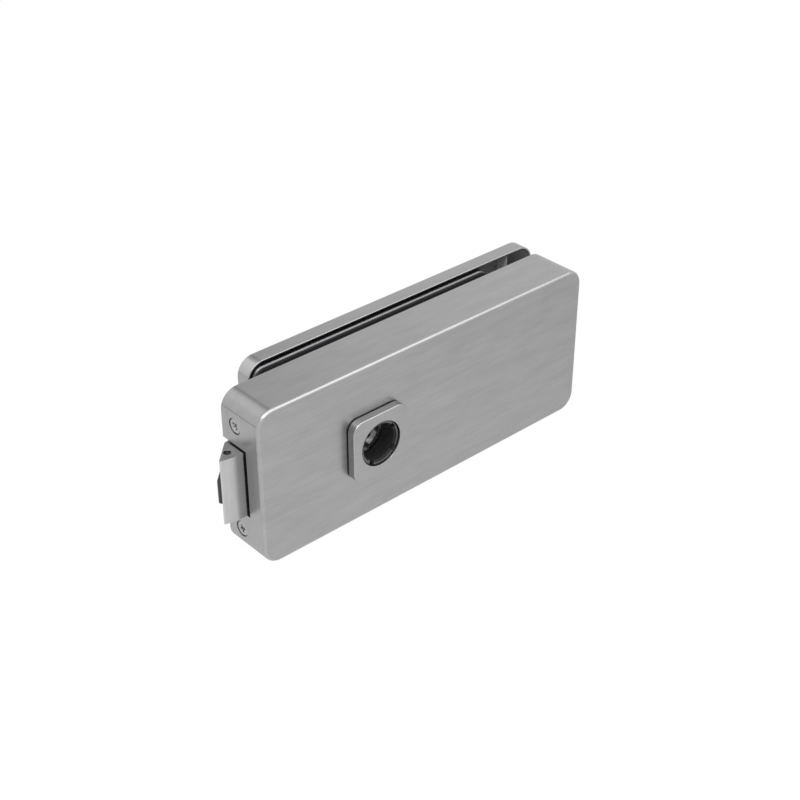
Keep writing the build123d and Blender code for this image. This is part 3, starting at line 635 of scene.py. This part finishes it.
class LockLooks(PropertyGroup):
    """Colours and finishes of the lock's own surfaces."""

    steel: FloatVectorProperty(
        name="Satin steel", description="Colour of the case, cover, collars and end plate",
        subtype="COLOR", size=3, default=(0.374, 0.374, 0.374), min=0.0, max=1.0,
    )
    steel_roughness: FloatProperty(
        name="Satin roughness", description="Roughness of the brushed steel",
        subtype="FACTOR", default=0.34, min=0.0, max=1.0,
    )
    latch_roughness: FloatProperty(
        name="Latch roughness", description="Roughness of the latch head",
        subtype="FACTOR", default=0.24, min=0.0, max=1.0,
    )
    grain: FloatProperty(
        name="Brush depth", description="Depth of the brush lines",
        default=0.000010, **{**LENGTH, "precision": 6},
    )
    latch: FloatVectorProperty(
        name="Latch steel", description="Colour of the latch head",
        subtype="COLOR", size=3, default=(0.49, 0.49, 0.49), min=0.0, max=1.0,
    )
    screw: FloatVectorProperty(
        name="Screw steel", description="Colour of the screws and rivets",
        subtype="COLOR", size=3, default=(0.40, 0.40, 0.40), min=0.0, max=1.0,
    )
    # Painted shade: the pin is made dark so that its hole in the latch reads as shaded.
    pin: FloatVectorProperty(
        name="Dark pin", description="Colour of the blackened pin in the latch",
        subtype="COLOR", size=3, default=(0.06, 0.06, 0.06), min=0.0, max=1.0,
    )
    clip: FloatVectorProperty(
        name="Clip steel", description="Colour of the clip rings in the collars",
        subtype="COLOR", size=3, default=(0.13, 0.13, 0.13), min=0.0, max=1.0,
    )
    plated: FloatVectorProperty(
        name="Plated steel", description="Colour of the plates and blocks inside",
        subtype="COLOR", size=3, default=(0.24, 0.24, 0.25), min=0.0, max=1.0,
    )
    follower: FloatVectorProperty(
        name="Follower steel", description="Colour of the follower and the springs",
        subtype="COLOR", size=3, default=(0.50, 0.50, 0.50), min=0.0, max=1.0,
    )
    plastic: FloatVectorProperty(
        name="Black plastic", description="Colour of the bushes, the glide and the clip block",
        subtype="COLOR", size=3, default=(0.018, 0.018, 0.018), min=0.0, max=1.0,
    )
    # Painted light on the end of the clip block that faces the latch, not a plated part.
    painted_light: FloatVectorProperty(
        name="Clip leaf", description="Colour of the plated leaf on the clip block",
        subtype="COLOR", size=3, default=(0.60, 0.60, 0.60), min=0.0, max=1.0,
    )
    rubber: FloatVectorProperty(
        name="Rubber", description="Colour of the gaskets and the collar seals",
        subtype="COLOR", size=3, default=(0.015, 0.015, 0.015), min=0.0, max=1.0,
    )


class StudioLooks(PropertyGroup):
    """Camera, lamps, floor and dome."""

    lens: FloatProperty(
        name="Lens", description="Focal length of the camera", unit="CAMERA",
        default=66.48, min=10.0, max=300.0,
    )
    camera_place: FloatVectorProperty(
        name="Camera place", description="Where the camera stands, from the lock's origin",
        subtype="TRANSLATION", unit="LENGTH", size=3, default=(-0.37004, -0.46370, 0.38823),
    )
    azimuth: FloatProperty(
        name="Azimuth", description="Turn of the camera about the upright, 0 along +Y",
        subtype="ANGLE", unit="ROTATION", default=math.radians(-41.75),
    )
    elevation: FloatProperty(
        name="Elevation", description="How far the camera looks down",
        subtype="ANGLE", unit="ROTATION", default=math.radians(32.79),
    )
    roll: FloatProperty(
        name="Roll", description="Turn of the camera about its line of sight",
        subtype="ANGLE", unit="ROTATION", default=math.radians(0.13),
    )
    floor: FloatVectorProperty(
        name="Floor", description="Colour of the floor",
        subtype="COLOR", size=3, default=(1.0, 1.0, 1.0), min=0.0, max=1.0,
    )
    floor_fall: FloatProperty(
        name="Floor fall-off", description="Share of the floor's light left at the far end",
        subtype="FACTOR", default=0.80, min=0.0, max=1.0,
    )
    floor_left: FloatProperty(
        name="Floor at the latch end", description="Share of the floor's light left there",
        subtype="FACTOR", default=0.91, min=0.0, max=1.0,
    )
    dome: FloatProperty(
        name="Dome", description="Strength of the pale dome that lights the lock",
        default=0.75, min=0.0, max=5.0,
    )
    dark_gap: FloatProperty(
        name="Dark gap", description="How much darker the gap in the dome behind the lock is",
        subtype="FACTOR", default=0.95, min=0.0, max=1.0,
    )
    bright_patch: FloatProperty(
        name="Bright patch", description="How much brighter the dome is up at the left rear",
        subtype="FACTOR", default=0.18, min=0.0, max=2.0,
    )
    softbox: FloatProperty(
        name="Overhead strip", description="Power of the long softbox overhead",
        unit="POWER", default=6.0, min=0.0, max=200.0,
    )
    left_strip: FloatProperty(
        name="Left strip", description="Power of the narrow softbox overhead on the left",
        unit="POWER", default=3.0, min=0.0, max=200.0,
    )


# Steps

def at_end_plate(edge):
    """True for the edges of the seam between the case and the end plate."""
    if any(v.co.x > END_PLATE[1].x + 1e-5 for v in edge.verts):
        return False
    front = all(abs(v.co.y - END_PLATE[0].y) < 1e-5 for v in edge.verts)
    side = all(abs(abs(v.co.z) - END_PLATE[1].z) < 2 * END_SEAM for v in edge.verts)
    return front or side


class LOCK_OT_case(Operator):
    """Shapes the drawn case, open at the rear and at the latch end"""

    bl_idname = "lock.case"
    bl_label = "Case shell"

    def execute(self, context):
        sizes = context.scene.lock_sizes
        low, high = CASE
        wall = sizes.case_wall
        shell = rounded_box(low, high, sizes.corner)
        round_edges(shell, edges_at(shell, 1, low.y), sizes.front_edge, 8)
        hollow = rounded_box(
            (low.x + wall, low.y + wall, low.z + wall),
            (high.x - wall, high.y + wall, high.z - wall),
            sizes.corner - wall,
        )
        half = END_PLATE[1].z + END_SEAM
        mouth = box_shape(
            (low.x - wall, END_PLATE[0].y, -half),
            (END_PLATE[1].x, high.y + wall, half),
        )
        neck = drum("Y", (0, low.y - wall, 0), 3 * wall, sizes.neck, steps=96)
        first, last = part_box("case_grub_screws")
        radius = (last.y - first.y) / 2
        hole_gap = 0.0001
        holes = [
            drum("Z", (x, (first.y + last.y) / 2, low.z - wall), 3 * wall, radius + hole_gap)
            for x in (first.x + radius, last.x - radius)
        ]
        piece = worked("Outer_shell", shell, cut=[hollow, mouth, neck, *holes])
        completed(
            piece, "case_shell", "case", "Satin steel", kept=at_end_plate
        )
        return {"FINISHED"}


class LOCK_OT_end_plate(Operator):
    """Shapes the end plate with its notch, and its two countersunk screws"""

    bl_idname = "lock.end_plate"
    bl_label = "End plate and screws"

    def execute(self, context):
        sizes = context.scene.lock_sizes
        low, high = END_PLATE
        plate = rounded_box(
            (CASE[0].x, low.y, CASE[0].z), (CASE[1].x, high.y, CASE[1].z), sizes.corner
        )
        trimmed(plate, (high.x, 0, 0), (1, 0, 0))
        trimmed(plate, (0, 0, high.z), (0, 0, 1))
        trimmed(plate, (0, 0, low.z), (0, 0, -1))
        gap, end_gap = 0.0013, 0.0009
        notch = box_shape(
            (low.x - gap, LATCH[0].y - gap, LATCH[0].z - end_gap),
            (high.x + gap, high.y + gap, LATCH[1].z + end_gap),
        )
        depth = CASE[0].y + sizes.screw_depth
        counterbore, cone, shank = 0.0041, 0.0039, 0.00205
        cuts = [notch]
        # Each cutter starts at its own level, because the cut fails where two caps lie in a plane
        for height in (-sizes.screw_height, sizes.screw_height):
            cuts.append(drum("X", (low.x - 0.0010, depth, height), 0.0020, counterbore))
            cuts.append(drum("X", (low.x + 0.0009, depth, height), 0.0018, cone, shank + 0.0001))
            cuts.append(drum("X", (low.x + 0.0005, depth, height), 0.005, shank))
        piece = worked("End_plate", plate, cut=cuts)
        completed(
            piece, "end_plate", "case", "Satin steel upright",
            kept=at_end_plate,
        )
        self.screws(low.x + 0.0002, depth, sizes.screw_height)
        return {"FINISHED"}

    def screws(self, level, depth, height):
        """Both screws as one piece, each with a cross recess turned as it was tightened."""
        pair = []
        recesses = []
        profile = (
            (0.0, 0.0), (0.0033, -0.00002), (0.0036, -0.0001), (0.00375, -0.00025),
            (0.00375, -0.0005), (0.0020, -0.0024), (0.0020, -0.0114), (0.0014, -0.0120),
            (0.0, -0.0120),
        )
        for place, turn in ((-height, 20.0), (height, 52.0)):
            centre = (level, depth, place)
            pair.append(turned(profile, "-X", centre, steps=64))
            for quarter in (0, 90):
                arm = bmesh.new()
                bmesh.ops.create_cube(arm, size=1.0)
                bmesh.ops.scale(arm, vec=(0.0050, 0.0011, 0.0034), verts=arm.verts)
                foot = [v for v in arm.verts if v.co.z < 0]
                bmesh.ops.scale(arm, vec=(0.62, 0.80, 1.0), verts=foot)
                spin = Matrix.Rotation(math.radians(turn + quarter), 4, "Z")
                bmesh.ops.transform(arm, matrix=spin, verts=arm.verts)
                recesses.append(placed(arm, "-X", centre))
            recesses.append(drum("X", (level - 0.0004, depth, place), 0.0024, 0.0015, 0.0005, 24))
        piece = worked("End_plate_screws", pair[0], joined=pair[1:], cut=recesses)
        completed(
            piece, "end_plate_screws", "case", "Screw steel", edge=0.00008
        )


class LOCK_OT_latch(Operator):
    """Shapes the latch head with its rear bevel, and the plastic glide in it"""

    bl_idname = "lock.latch"
    bl_label = "Latch head and glide"

    def execute(self, context):
        low, high = LATCH
        end = CASE[0].x
        throw, nose_radius = 0.0126, 0.00110
        tip = Vector((end - throw, low.y + 0.0015, 0))
        bevel_end = Vector((end - 0.0018, high.y - 0.0005, 0))
        corners = (
            (high.x, low.y), (end - 0.0054, low.y), (tip.x, tip.y), (bevel_end.x, bevel_end.y),
            (end + 0.0009, high.y), (high.x, high.y),
        )
        head = prism(corners, low.z, high.z)
        nose = [e for e in edges_along(head, 2) if abs(e.verts[0].co.x - tip.x) < 1e-6]
        round_edges(head, nose, nose_radius, 12)
        along = (bevel_end - tip).normalized()
        turn = Matrix.Translation(tip) @ Matrix.Rotation(math.atan2(along.y, along.x), 4, "Z")
        pin_low, pin_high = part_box("latch_pin")
        pin = ((pin_low.x + pin_high.x) / 2, (pin_low.y + pin_high.y) / 2)
        gap = 0.00005
        radius = (pin_high.x - pin_low.x) / 2 + gap
        rod_low, rod_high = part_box("spring_rod")
        rod = ((rod_low.y + rod_high.y) / 2, (rod_low.z + rod_high.z) / 2)
        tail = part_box("latch_tail")
        cuts = [
            *self.glide_shape(turn, gap),
            drum("Z", (*pin, low.z - 0.001), high.z - low.z + 0.002, radius),
            drum("X", (rod_low.x, *rod), high.x - rod_low.x + 0.001, rod_high.y - rod[0] + gap),
            box_shape(
                (tail[0].x - gap, tail[0].y - gap, tail[0].z - gap),
                (high.x + 0.001, tail[1].y + gap, 0.012 + gap),
            ),
        ]
        for height in (-0.004, 0.008):
            cuts.append(drum("Y", (high.x - 0.004, low.y - 0.001, height), 0.0146, 0.00155))
        piece = worked("Latch_head", head, cut=cuts)
        completed(
            piece, "latch_head", "latch", "Latch steel", edge=0.00036, segments=3,
            crease=10.5,
        )
        pad, tongue = self.glide_shape(turn, 0.0, 0.0024)
        hole = drum("Z", (*pin, -0.009), 0.018, radius)
        glide = worked("Latch_glide", pad, joined=[tongue], cut=[hole])
        completed(glide, "latch_glide", "latch", "Black plastic", edge=0.0001)
        return {"FINISHED"}

    def glide_shape(self, turn, gap, proud=0.004):
        """The glide's pad and tongue on the bevel, grown by a gap, the pad up to a height."""
        foot, head = -0.0078, 0.0042
        pad = box_shape(
            (0.0030 - gap, -0.0024 - gap, foot - gap), (0.0125 + gap, proud, head + gap)
        )
        if not gap:
            outer = [e for e in edges_along(pad, 2) if e.verts[0].co.y > 0]
            round_edges(pad, outer, 0.0014, 8)
            ends = [
                e for e in pad.edges
                if abs(e.verts[0].co.z - e.verts[1].co.z) < 1e-7 and e.verts[0].co.y > 0
                and e.verts[1].co.y > 0
            ]
            round_edges(pad, ends, 0.0004, 3)
        tongue = box_shape(
            (0.00515 - gap, -0.0048 - gap, foot - gap), (0.00985 + gap, -0.0020, head + gap)
        )
        for shape in (pad, tongue):
            bmesh.ops.transform(shape, matrix=turn, verts=shape.verts)
        return pad, tongue


class LOCK_OT_latch_spring(Operator):
    """Winds the latch spring"""

    bl_idname = "lock.latch_spring"
    bl_label = "Latch spring"

    def execute(self, context):
        sizes = context.scene.lock_sizes
        low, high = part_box("latch_spring")
        wire = sizes.spring_wire / 2
        centre = (low.x + wire, (low.y + high.y) / 2, (low.z + high.z) / 2)
        radius = (high.y - low.y) / 2 - wire
        turns = sizes.spring_turns
        steps = 28 * turns
        bm = bmesh.new()
        bmesh.ops.create_circle(bm, cap_ends=False, segments=10, radius=wire)
        upright = Matrix.Translation((radius, 0, 0)) @ Matrix.Rotation(math.pi / 2, 4, "X")
        bmesh.ops.transform(bm, matrix=upright, verts=bm.verts)
        bmesh.ops.spin(
            bm, geom=bm.verts[:] + bm.edges[:], cent=(0, 0, 0), axis=(0, 0, 1),
            dvec=(0, 0, (high.x - low.x - 2 * wire) / steps), angle=2 * math.pi * turns,
            steps=steps, use_merge=False,
        )
        bmesh.ops.holes_fill(bm, edges=[e for e in bm.edges if e.is_boundary], sides=0)
        bmesh.ops.recalc_face_normals(bm, faces=bm.faces)
        piece = as_object("Latch_spring", placed(bm, "X", centre))
        for face in piece.data.polygons:
            face.use_smooth = True
        piece.data.materials.append(worn("Spring wire"))
        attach(piece, "case")
        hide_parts("latch_spring")
        slide = next(each for each in frame["joints"] if each["name"] == "latch_slide")
        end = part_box("spring_abutment")[0].x
        share = 1.0 - slide["range_m"][1] / (end - LATCH[1].x)
        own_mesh(piece)
        return {"FINISHED"}


class LOCK_OT_collars(Operator):
    """Shapes the square collars and the plastic bushes on both sides"""

    bl_idname = "lock.collars"
    bl_label = "Collars and bushes"

    def execute(self, context):
        sizes = context.scene.lock_sizes
        for side, outwards in (("front", -1), ("rear", 1)):
            low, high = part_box(side + "_collar")
            face, end = (low.y, high.y) if outwards < 0 else (high.y, low.y)
            self.collar(sizes, side, outwards, low, high, face, end)
            self.bush(sizes, side, outwards)
        return {"FINISHED"}

    def collar(self, sizes, side, outwards, low, high, face, end):
        """A square block with a neck on its inner side and a bore through both."""
        root = face - outwards * sizes.collar_height
        first, last = sorted((face, root))
        block = rounded_box((low.x, first, low.z), (high.x, last, high.z), sizes.collar_corner, 10)
        round_edges(block, edges_at(block, 1, face), sizes.collar_edge, 4)
        inwards = "Y" if outwards < 0 else "-Y"
        span = abs(end - root)
        sunk = 0.0005
        neck = drum(
            inwards, (0, root + outwards * sunk, 0), span + sunk, sizes.collar_neck, steps=96
        )
        bore = drum(
            inwards, (0, face + outwards * 0.001, 0), abs(end - face) + 0.002, sizes.collar_bore,
            steps=96,
        )
        piece = worked(side.capitalize() + "_collar", block, joined=[neck], cut=[bore])
        completed(piece, side + "_collar", "case", "Satin steel", edge=0.00015)

    def bush(self, sizes, side, outwards):
        """A plastic ring in the bore, with key slots in its outer end."""
        low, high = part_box(side + "_bush")
        level, end = (low.y, high.y) if outwards < 0 else (high.y, low.y)
        axis = "-Y" if outwards < 0 else "Y"
        outer, inner, length = sizes.collar_bore - 0.00015, 0.0095, abs(end - level)
        profile = (
            (inner + 0.0004, 0.0), (outer - 0.0002, 0.0), (outer, -0.0002), (outer, -length),
            (inner + 0.0003, -length), (inner, -length + 0.0003), (inner, -0.0004),
        )
        ring = turned(profile, axis, (0, level, 0), closed=True, steps=96)
        slots = []
        for angle in (36.0, -38.0, -120.0):
            slot = box_shape((-0.0032, -0.0012, -0.0016), (0.0032, 0.0012, 0.001))
            spin = Matrix.Rotation(math.radians(angle), 4, "Z") @ Matrix.Translation((outer, 0, 0))
            bmesh.ops.transform(slot, matrix=spin, verts=slot.verts)
            slots.append(placed(slot, axis, (0, level, 0)))
        piece = worked(side.capitalize() + "_bush", ring, cut=slots)
        completed(piece, side + "_bush", "case", "Bush plastic", edge=0.0001)


class LOCK_OT_cover(Operator):
    """Shapes the rear cover and the counter plate inside it"""

    bl_idname = "lock.cover"
    bl_label = "Rear cover and counter plate"

    def execute(self, context):
        sizes = context.scene.lock_sizes
        low, high = COVER
        wall = sizes.cover_wall
        tray = rounded_box(low, high, sizes.corner)
        round_edges(tray, edges_at(tray, 1, high.y), sizes.cover_edge, 6)
        hollow = rounded_box(
            (low.x + wall, low.y - wall, low.z + wall),
            (high.x - wall, high.y - wall, high.z - wall),
            sizes.corner - wall,
        )
        neck = drum("Y", (0, high.y - 2 * wall, 0), 3 * wall, sizes.neck, steps=96)
        piece = worked("Rear_cover", tray, cut=[hollow, neck])
        completed(piece, "rear_cover", "case", "Cover steel", edge=0.0004)
        self.counter_plate()
        return {"FINISHED"}

    def counter_plate(self):
        """A plate with rounded edges, and a narrow tongue at its far end."""
        low, high = PLATE
        far, grown = 0.1076, 0.00095
        corner, edge = 0.00575, 0.0016
        slab = rounded_box(
            (low.x - grown, low.y, low.z - grown), (far, high.y, high.z + grown), corner, 8
        )
        round_edges(slab, edges_at(slab, 1, low.y), edge, 5)
        tongue = box_shape((far - 0.012, high.y - 0.0015, -0.006), (high.x, high.y, 0.006))
        cuts = [drum("Y", (0, low.y - 0.001, 0), 0.005, 0.01355, steps=96)]
        for x in (-0.024, 0.095):
            for z in (-0.025, 0.025):
                cuts.append(drum("Y", (x, low.y - 0.001, z), 0.005, 0.00275))
                cuts.append(drum("-Y", (x, high.y + 0.0005, z), 0.0028, 0.00555, 0.00275))
        piece = worked("Counter_plate", slab, joined=[tongue], cut=cuts)
        completed(piece, "counter_plate", "case", "Plated steel")


class LOCK_OT_inner_parts(Operator):
    """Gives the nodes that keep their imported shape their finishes"""

    bl_idname = "lock.inner_parts"
    bl_label = "Inner parts"

    def execute(self, context):
        worn_by = {
            "Screw steel": (
                "guide_block_screws", "mechanism_screws", "clamp_screws", "case_grub_screws",
                "tail_rivets",
            ),
            "Dark pin": ("latch_pin",),
            "Clip steel": ("front_bush_clip", "rear_bush_clip"),
            "Plated steel": (
                "base_plate", "mechanism_plate", "pillars", "spring_abutment", "spring_post",
                "upper_guide_block", "lower_guide_block", "front_collar_nut",
                "spindle_sleeve", "clamp_sleeves", "case_lugs", "latch_tail", "spring_rod",
            ),
            "Spring wire": ("return_spring",),
            "Follower steel": ("follower",),
            "Black plastic": ("sleeve_bushes",),
            "Clip block plastic": ("cover_clip_block",),
            "Rubber": ("front_gasket", "rear_gasket", "front_collar_seal", "rear_collar_seal"),
        }
        for finish, nodes in worn_by.items():
            for node in nodes:
                dress(node, finish)
        return {"FINISHED"}


def lamp(name, place, aim, size, power):
    """A soft rectangular lamp at a place, turned to face a point."""
    data = bpy.data.lights.new(name, "AREA")
    data.shape = "RECTANGLE"
    data.size, data.size_y = size
    data.energy = power
    made = bpy.data.objects.new(name, data)
    made.location = place
    made.rotation_mode = "QUATERNION"
    made.rotation_quaternion = (Vector(aim) - Vector(place)).to_track_quat("-Z", "Y")
    bpy.context.scene.collection.objects.link(made)
    return made


class LOCK_OT_stage(Operator):
    """Sets the floor, the dome, the lamps and the camera"""

    bl_idname = "lock.stage"
    bl_label = "Studio"

    def execute(self, context):
        looks = context.scene.studio_looks
        self.floor(looks)
        self.dome(looks)
        lamp("Overhead strip", (0.15, -0.50, 0.90), (0.03, 0, 0), (1.5, 0.80), looks.softbox)
        lamp("Left strip", (-0.46, -0.20, 0.86), (-0.06, 0, 0.02), (0.42, 0.14), looks.left_strip)
        self.camera(looks)
        context.scene.view_settings.view_transform = "Standard"
        return {"FINISHED"}

    def floor(self, looks):
        """A white floor, a little less bright in reflections towards both ends of the lock."""
        bm = bmesh.new()
        bmesh.ops.create_grid(bm, x_segments=1, y_segments=1, size=4.0)
        bmesh.ops.translate(bm, vec=(0, 0, cad_box[0].z - 0.0001), verts=bm.verts)
        made = as_object("Studio_floor", bm)
        finish = Finish("Studio floor")
        finish.set(base_color=four(looks.floor), roughness=0.9)
        root = finish.root
        path = root.node("ShaderNodeLightPath")
        camera, mirrored = root.out(path, "Is Camera Ray"), root.out(path, "Is Glossy Ray")
        seen = (camera + mirrored + root.out(path, "Is Transmission Ray")).clipped()
        x = finish.axes(finish.root)[0]
        far, left = x.rise(-0.10, 0.30), (0.0 - x).rise(0.06, 0.13)
        edge = tuple(c * looks.floor_fall for c in looks.floor)
        left_edge = tuple(c * looks.floor_left for c in looks.floor)
        glow = root.node("ShaderNodeEmission")
        faded = finish.blend(far * mirrored, four(looks.floor), four(edge))
        faded = finish.blend(left * mirrored, faded, four(left_edge))
        root.join(glow.inputs["Color"], faded)
        glow.inputs["Strength"].default_value = 1.0
        both = root.node("ShaderNodeMixShader")
        root.join(both.inputs[0], seen * 0.85 + camera * 0.12)
        tree = finish.tree
        tree.links.new(finish.shader.outputs[0], both.inputs[1])
        tree.links.new(glow.outputs[0], both.inputs[2])
        tree.links.new(both.outputs[0], tree.nodes["Material Output"].inputs["Surface"])
        made.data.materials.append(finish.material)

    def dome(self, looks):
        """Pale all round, with a darker gap behind the lock and a brighter patch at its left."""
        world = bpy.data.worlds.new("Studio dome")
        bpy.context.scene.world = world
        world.use_nodes = True
        tree = world.node_tree
        sky = tree.nodes["Background"]
        sky.inputs["Color"].default_value = (1.0, 1.0, 1.0, 1.0)
        root = Shade(tree, tree.nodes.new("ShaderNodeTexCoord").outputs["Generated"])

        def patch(centre, edge, core):
            """A soft round patch of the dome about a direction."""
            towards = root.node("ShaderNodeVectorMath", {"operation": "DOT_PRODUCT"})
            root.join(towards.inputs[0], root)
            towards.inputs[1].default_value = Vector(centre).normalized()
            return root.out(towards, "Value").rise(edge, core)

        gap = patch((0.335, 0.695, 0.637), 0.974, 0.999)
        glow = patch((-0.28, 0.69, 0.665), 0.915, 0.995)
        level = 1.0 - gap * looks.dark_gap + glow * looks.bright_patch
        path = root.node("ShaderNodeLightPath")
        mirrored = (root.out(path, "Is Glossy Ray") + root.out(path, "Is Transmission Ray")).clipped()
        camera = root.out(path, "Is Camera Ray")
        lit = level * (looks.dome + mirrored * (1.0 - looks.dome))
        root.join(sky.inputs["Strength"], lit + camera * (1.0 - lit))

    def camera(self, looks):
        """The camera of the photo."""
        data = bpy.data.cameras.new("Camera")
        data.lens = looks.lens
        data.sensor_width = 36.0
        data.clip_start = 0.01
        data.clip_end = 20.0
        made = bpy.data.objects.new("Camera", data)
        made.location = looks.camera_place
        across = math.cos(looks.elevation)
        line = Vector((
            -math.sin(looks.azimuth) * across,
            math.cos(looks.azimuth) * across,
            -math.sin(looks.elevation),
        ))
        made.rotation_mode = "QUATERNION"
        made.rotation_quaternion = Quaternion(line, looks.roll) @ line.to_track_quat("-Z", "Y")
        bpy.context.scene.collection.objects.link(made)
        bpy.context.scene.camera = made


STEPS = (
    LOCK_OT_case, LOCK_OT_end_plate, LOCK_OT_latch, LOCK_OT_latch_spring, LOCK_OT_collars,
    LOCK_OT_cover, LOCK_OT_inner_parts, LOCK_OT_stage,
)


class LOCK_PT_sidebar(Panel):
    """Sidebar panel with the steps of the lock and their settings"""

    bl_idname = "LOCK_PT_sidebar"
    bl_label = "Door Lock"
    bl_space_type = "VIEW_3D"
    bl_region_type = "UI"
    bl_category = "Door Lock"

    def draw(self, context):
        for step in STEPS:
            self.layout.operator(step.bl_idname)
        scene = context.scene
        for group in (scene.lock_sizes, scene.lock_looks, scene.studio_looks):
            for name in group.__annotations__:
                self.layout.prop(group, name)


GROUPS = {"lock_sizes": LockSizes, "lock_looks": LockLooks, "studio_looks": StudioLooks}
CLASSES = (*GROUPS.values(), *STEPS, LOCK_PT_sidebar)


def register():
    for each in CLASSES:
        bpy.utils.register_class(each)
    for name, group in GROUPS.items():
        setattr(bpy.types.Scene, name, PointerProperty(type=group))


def unregister():
    for name in GROUPS:
        delattr(bpy.types.Scene, name)
    for each in reversed(CLASSES):
        bpy.utils.unregister_class(each)


def main():
    register()
    bpy.ops.lock.case()
    bpy.ops.lock.end_plate()
    bpy.ops.lock.latch()
    bpy.ops.lock.latch_spring()
    bpy.ops.lock.collars()
    bpy.ops.lock.cover()
    bpy.ops.lock.inner_parts()
    bpy.ops.lock.stage()


if __name__ == "__main__":
    main()
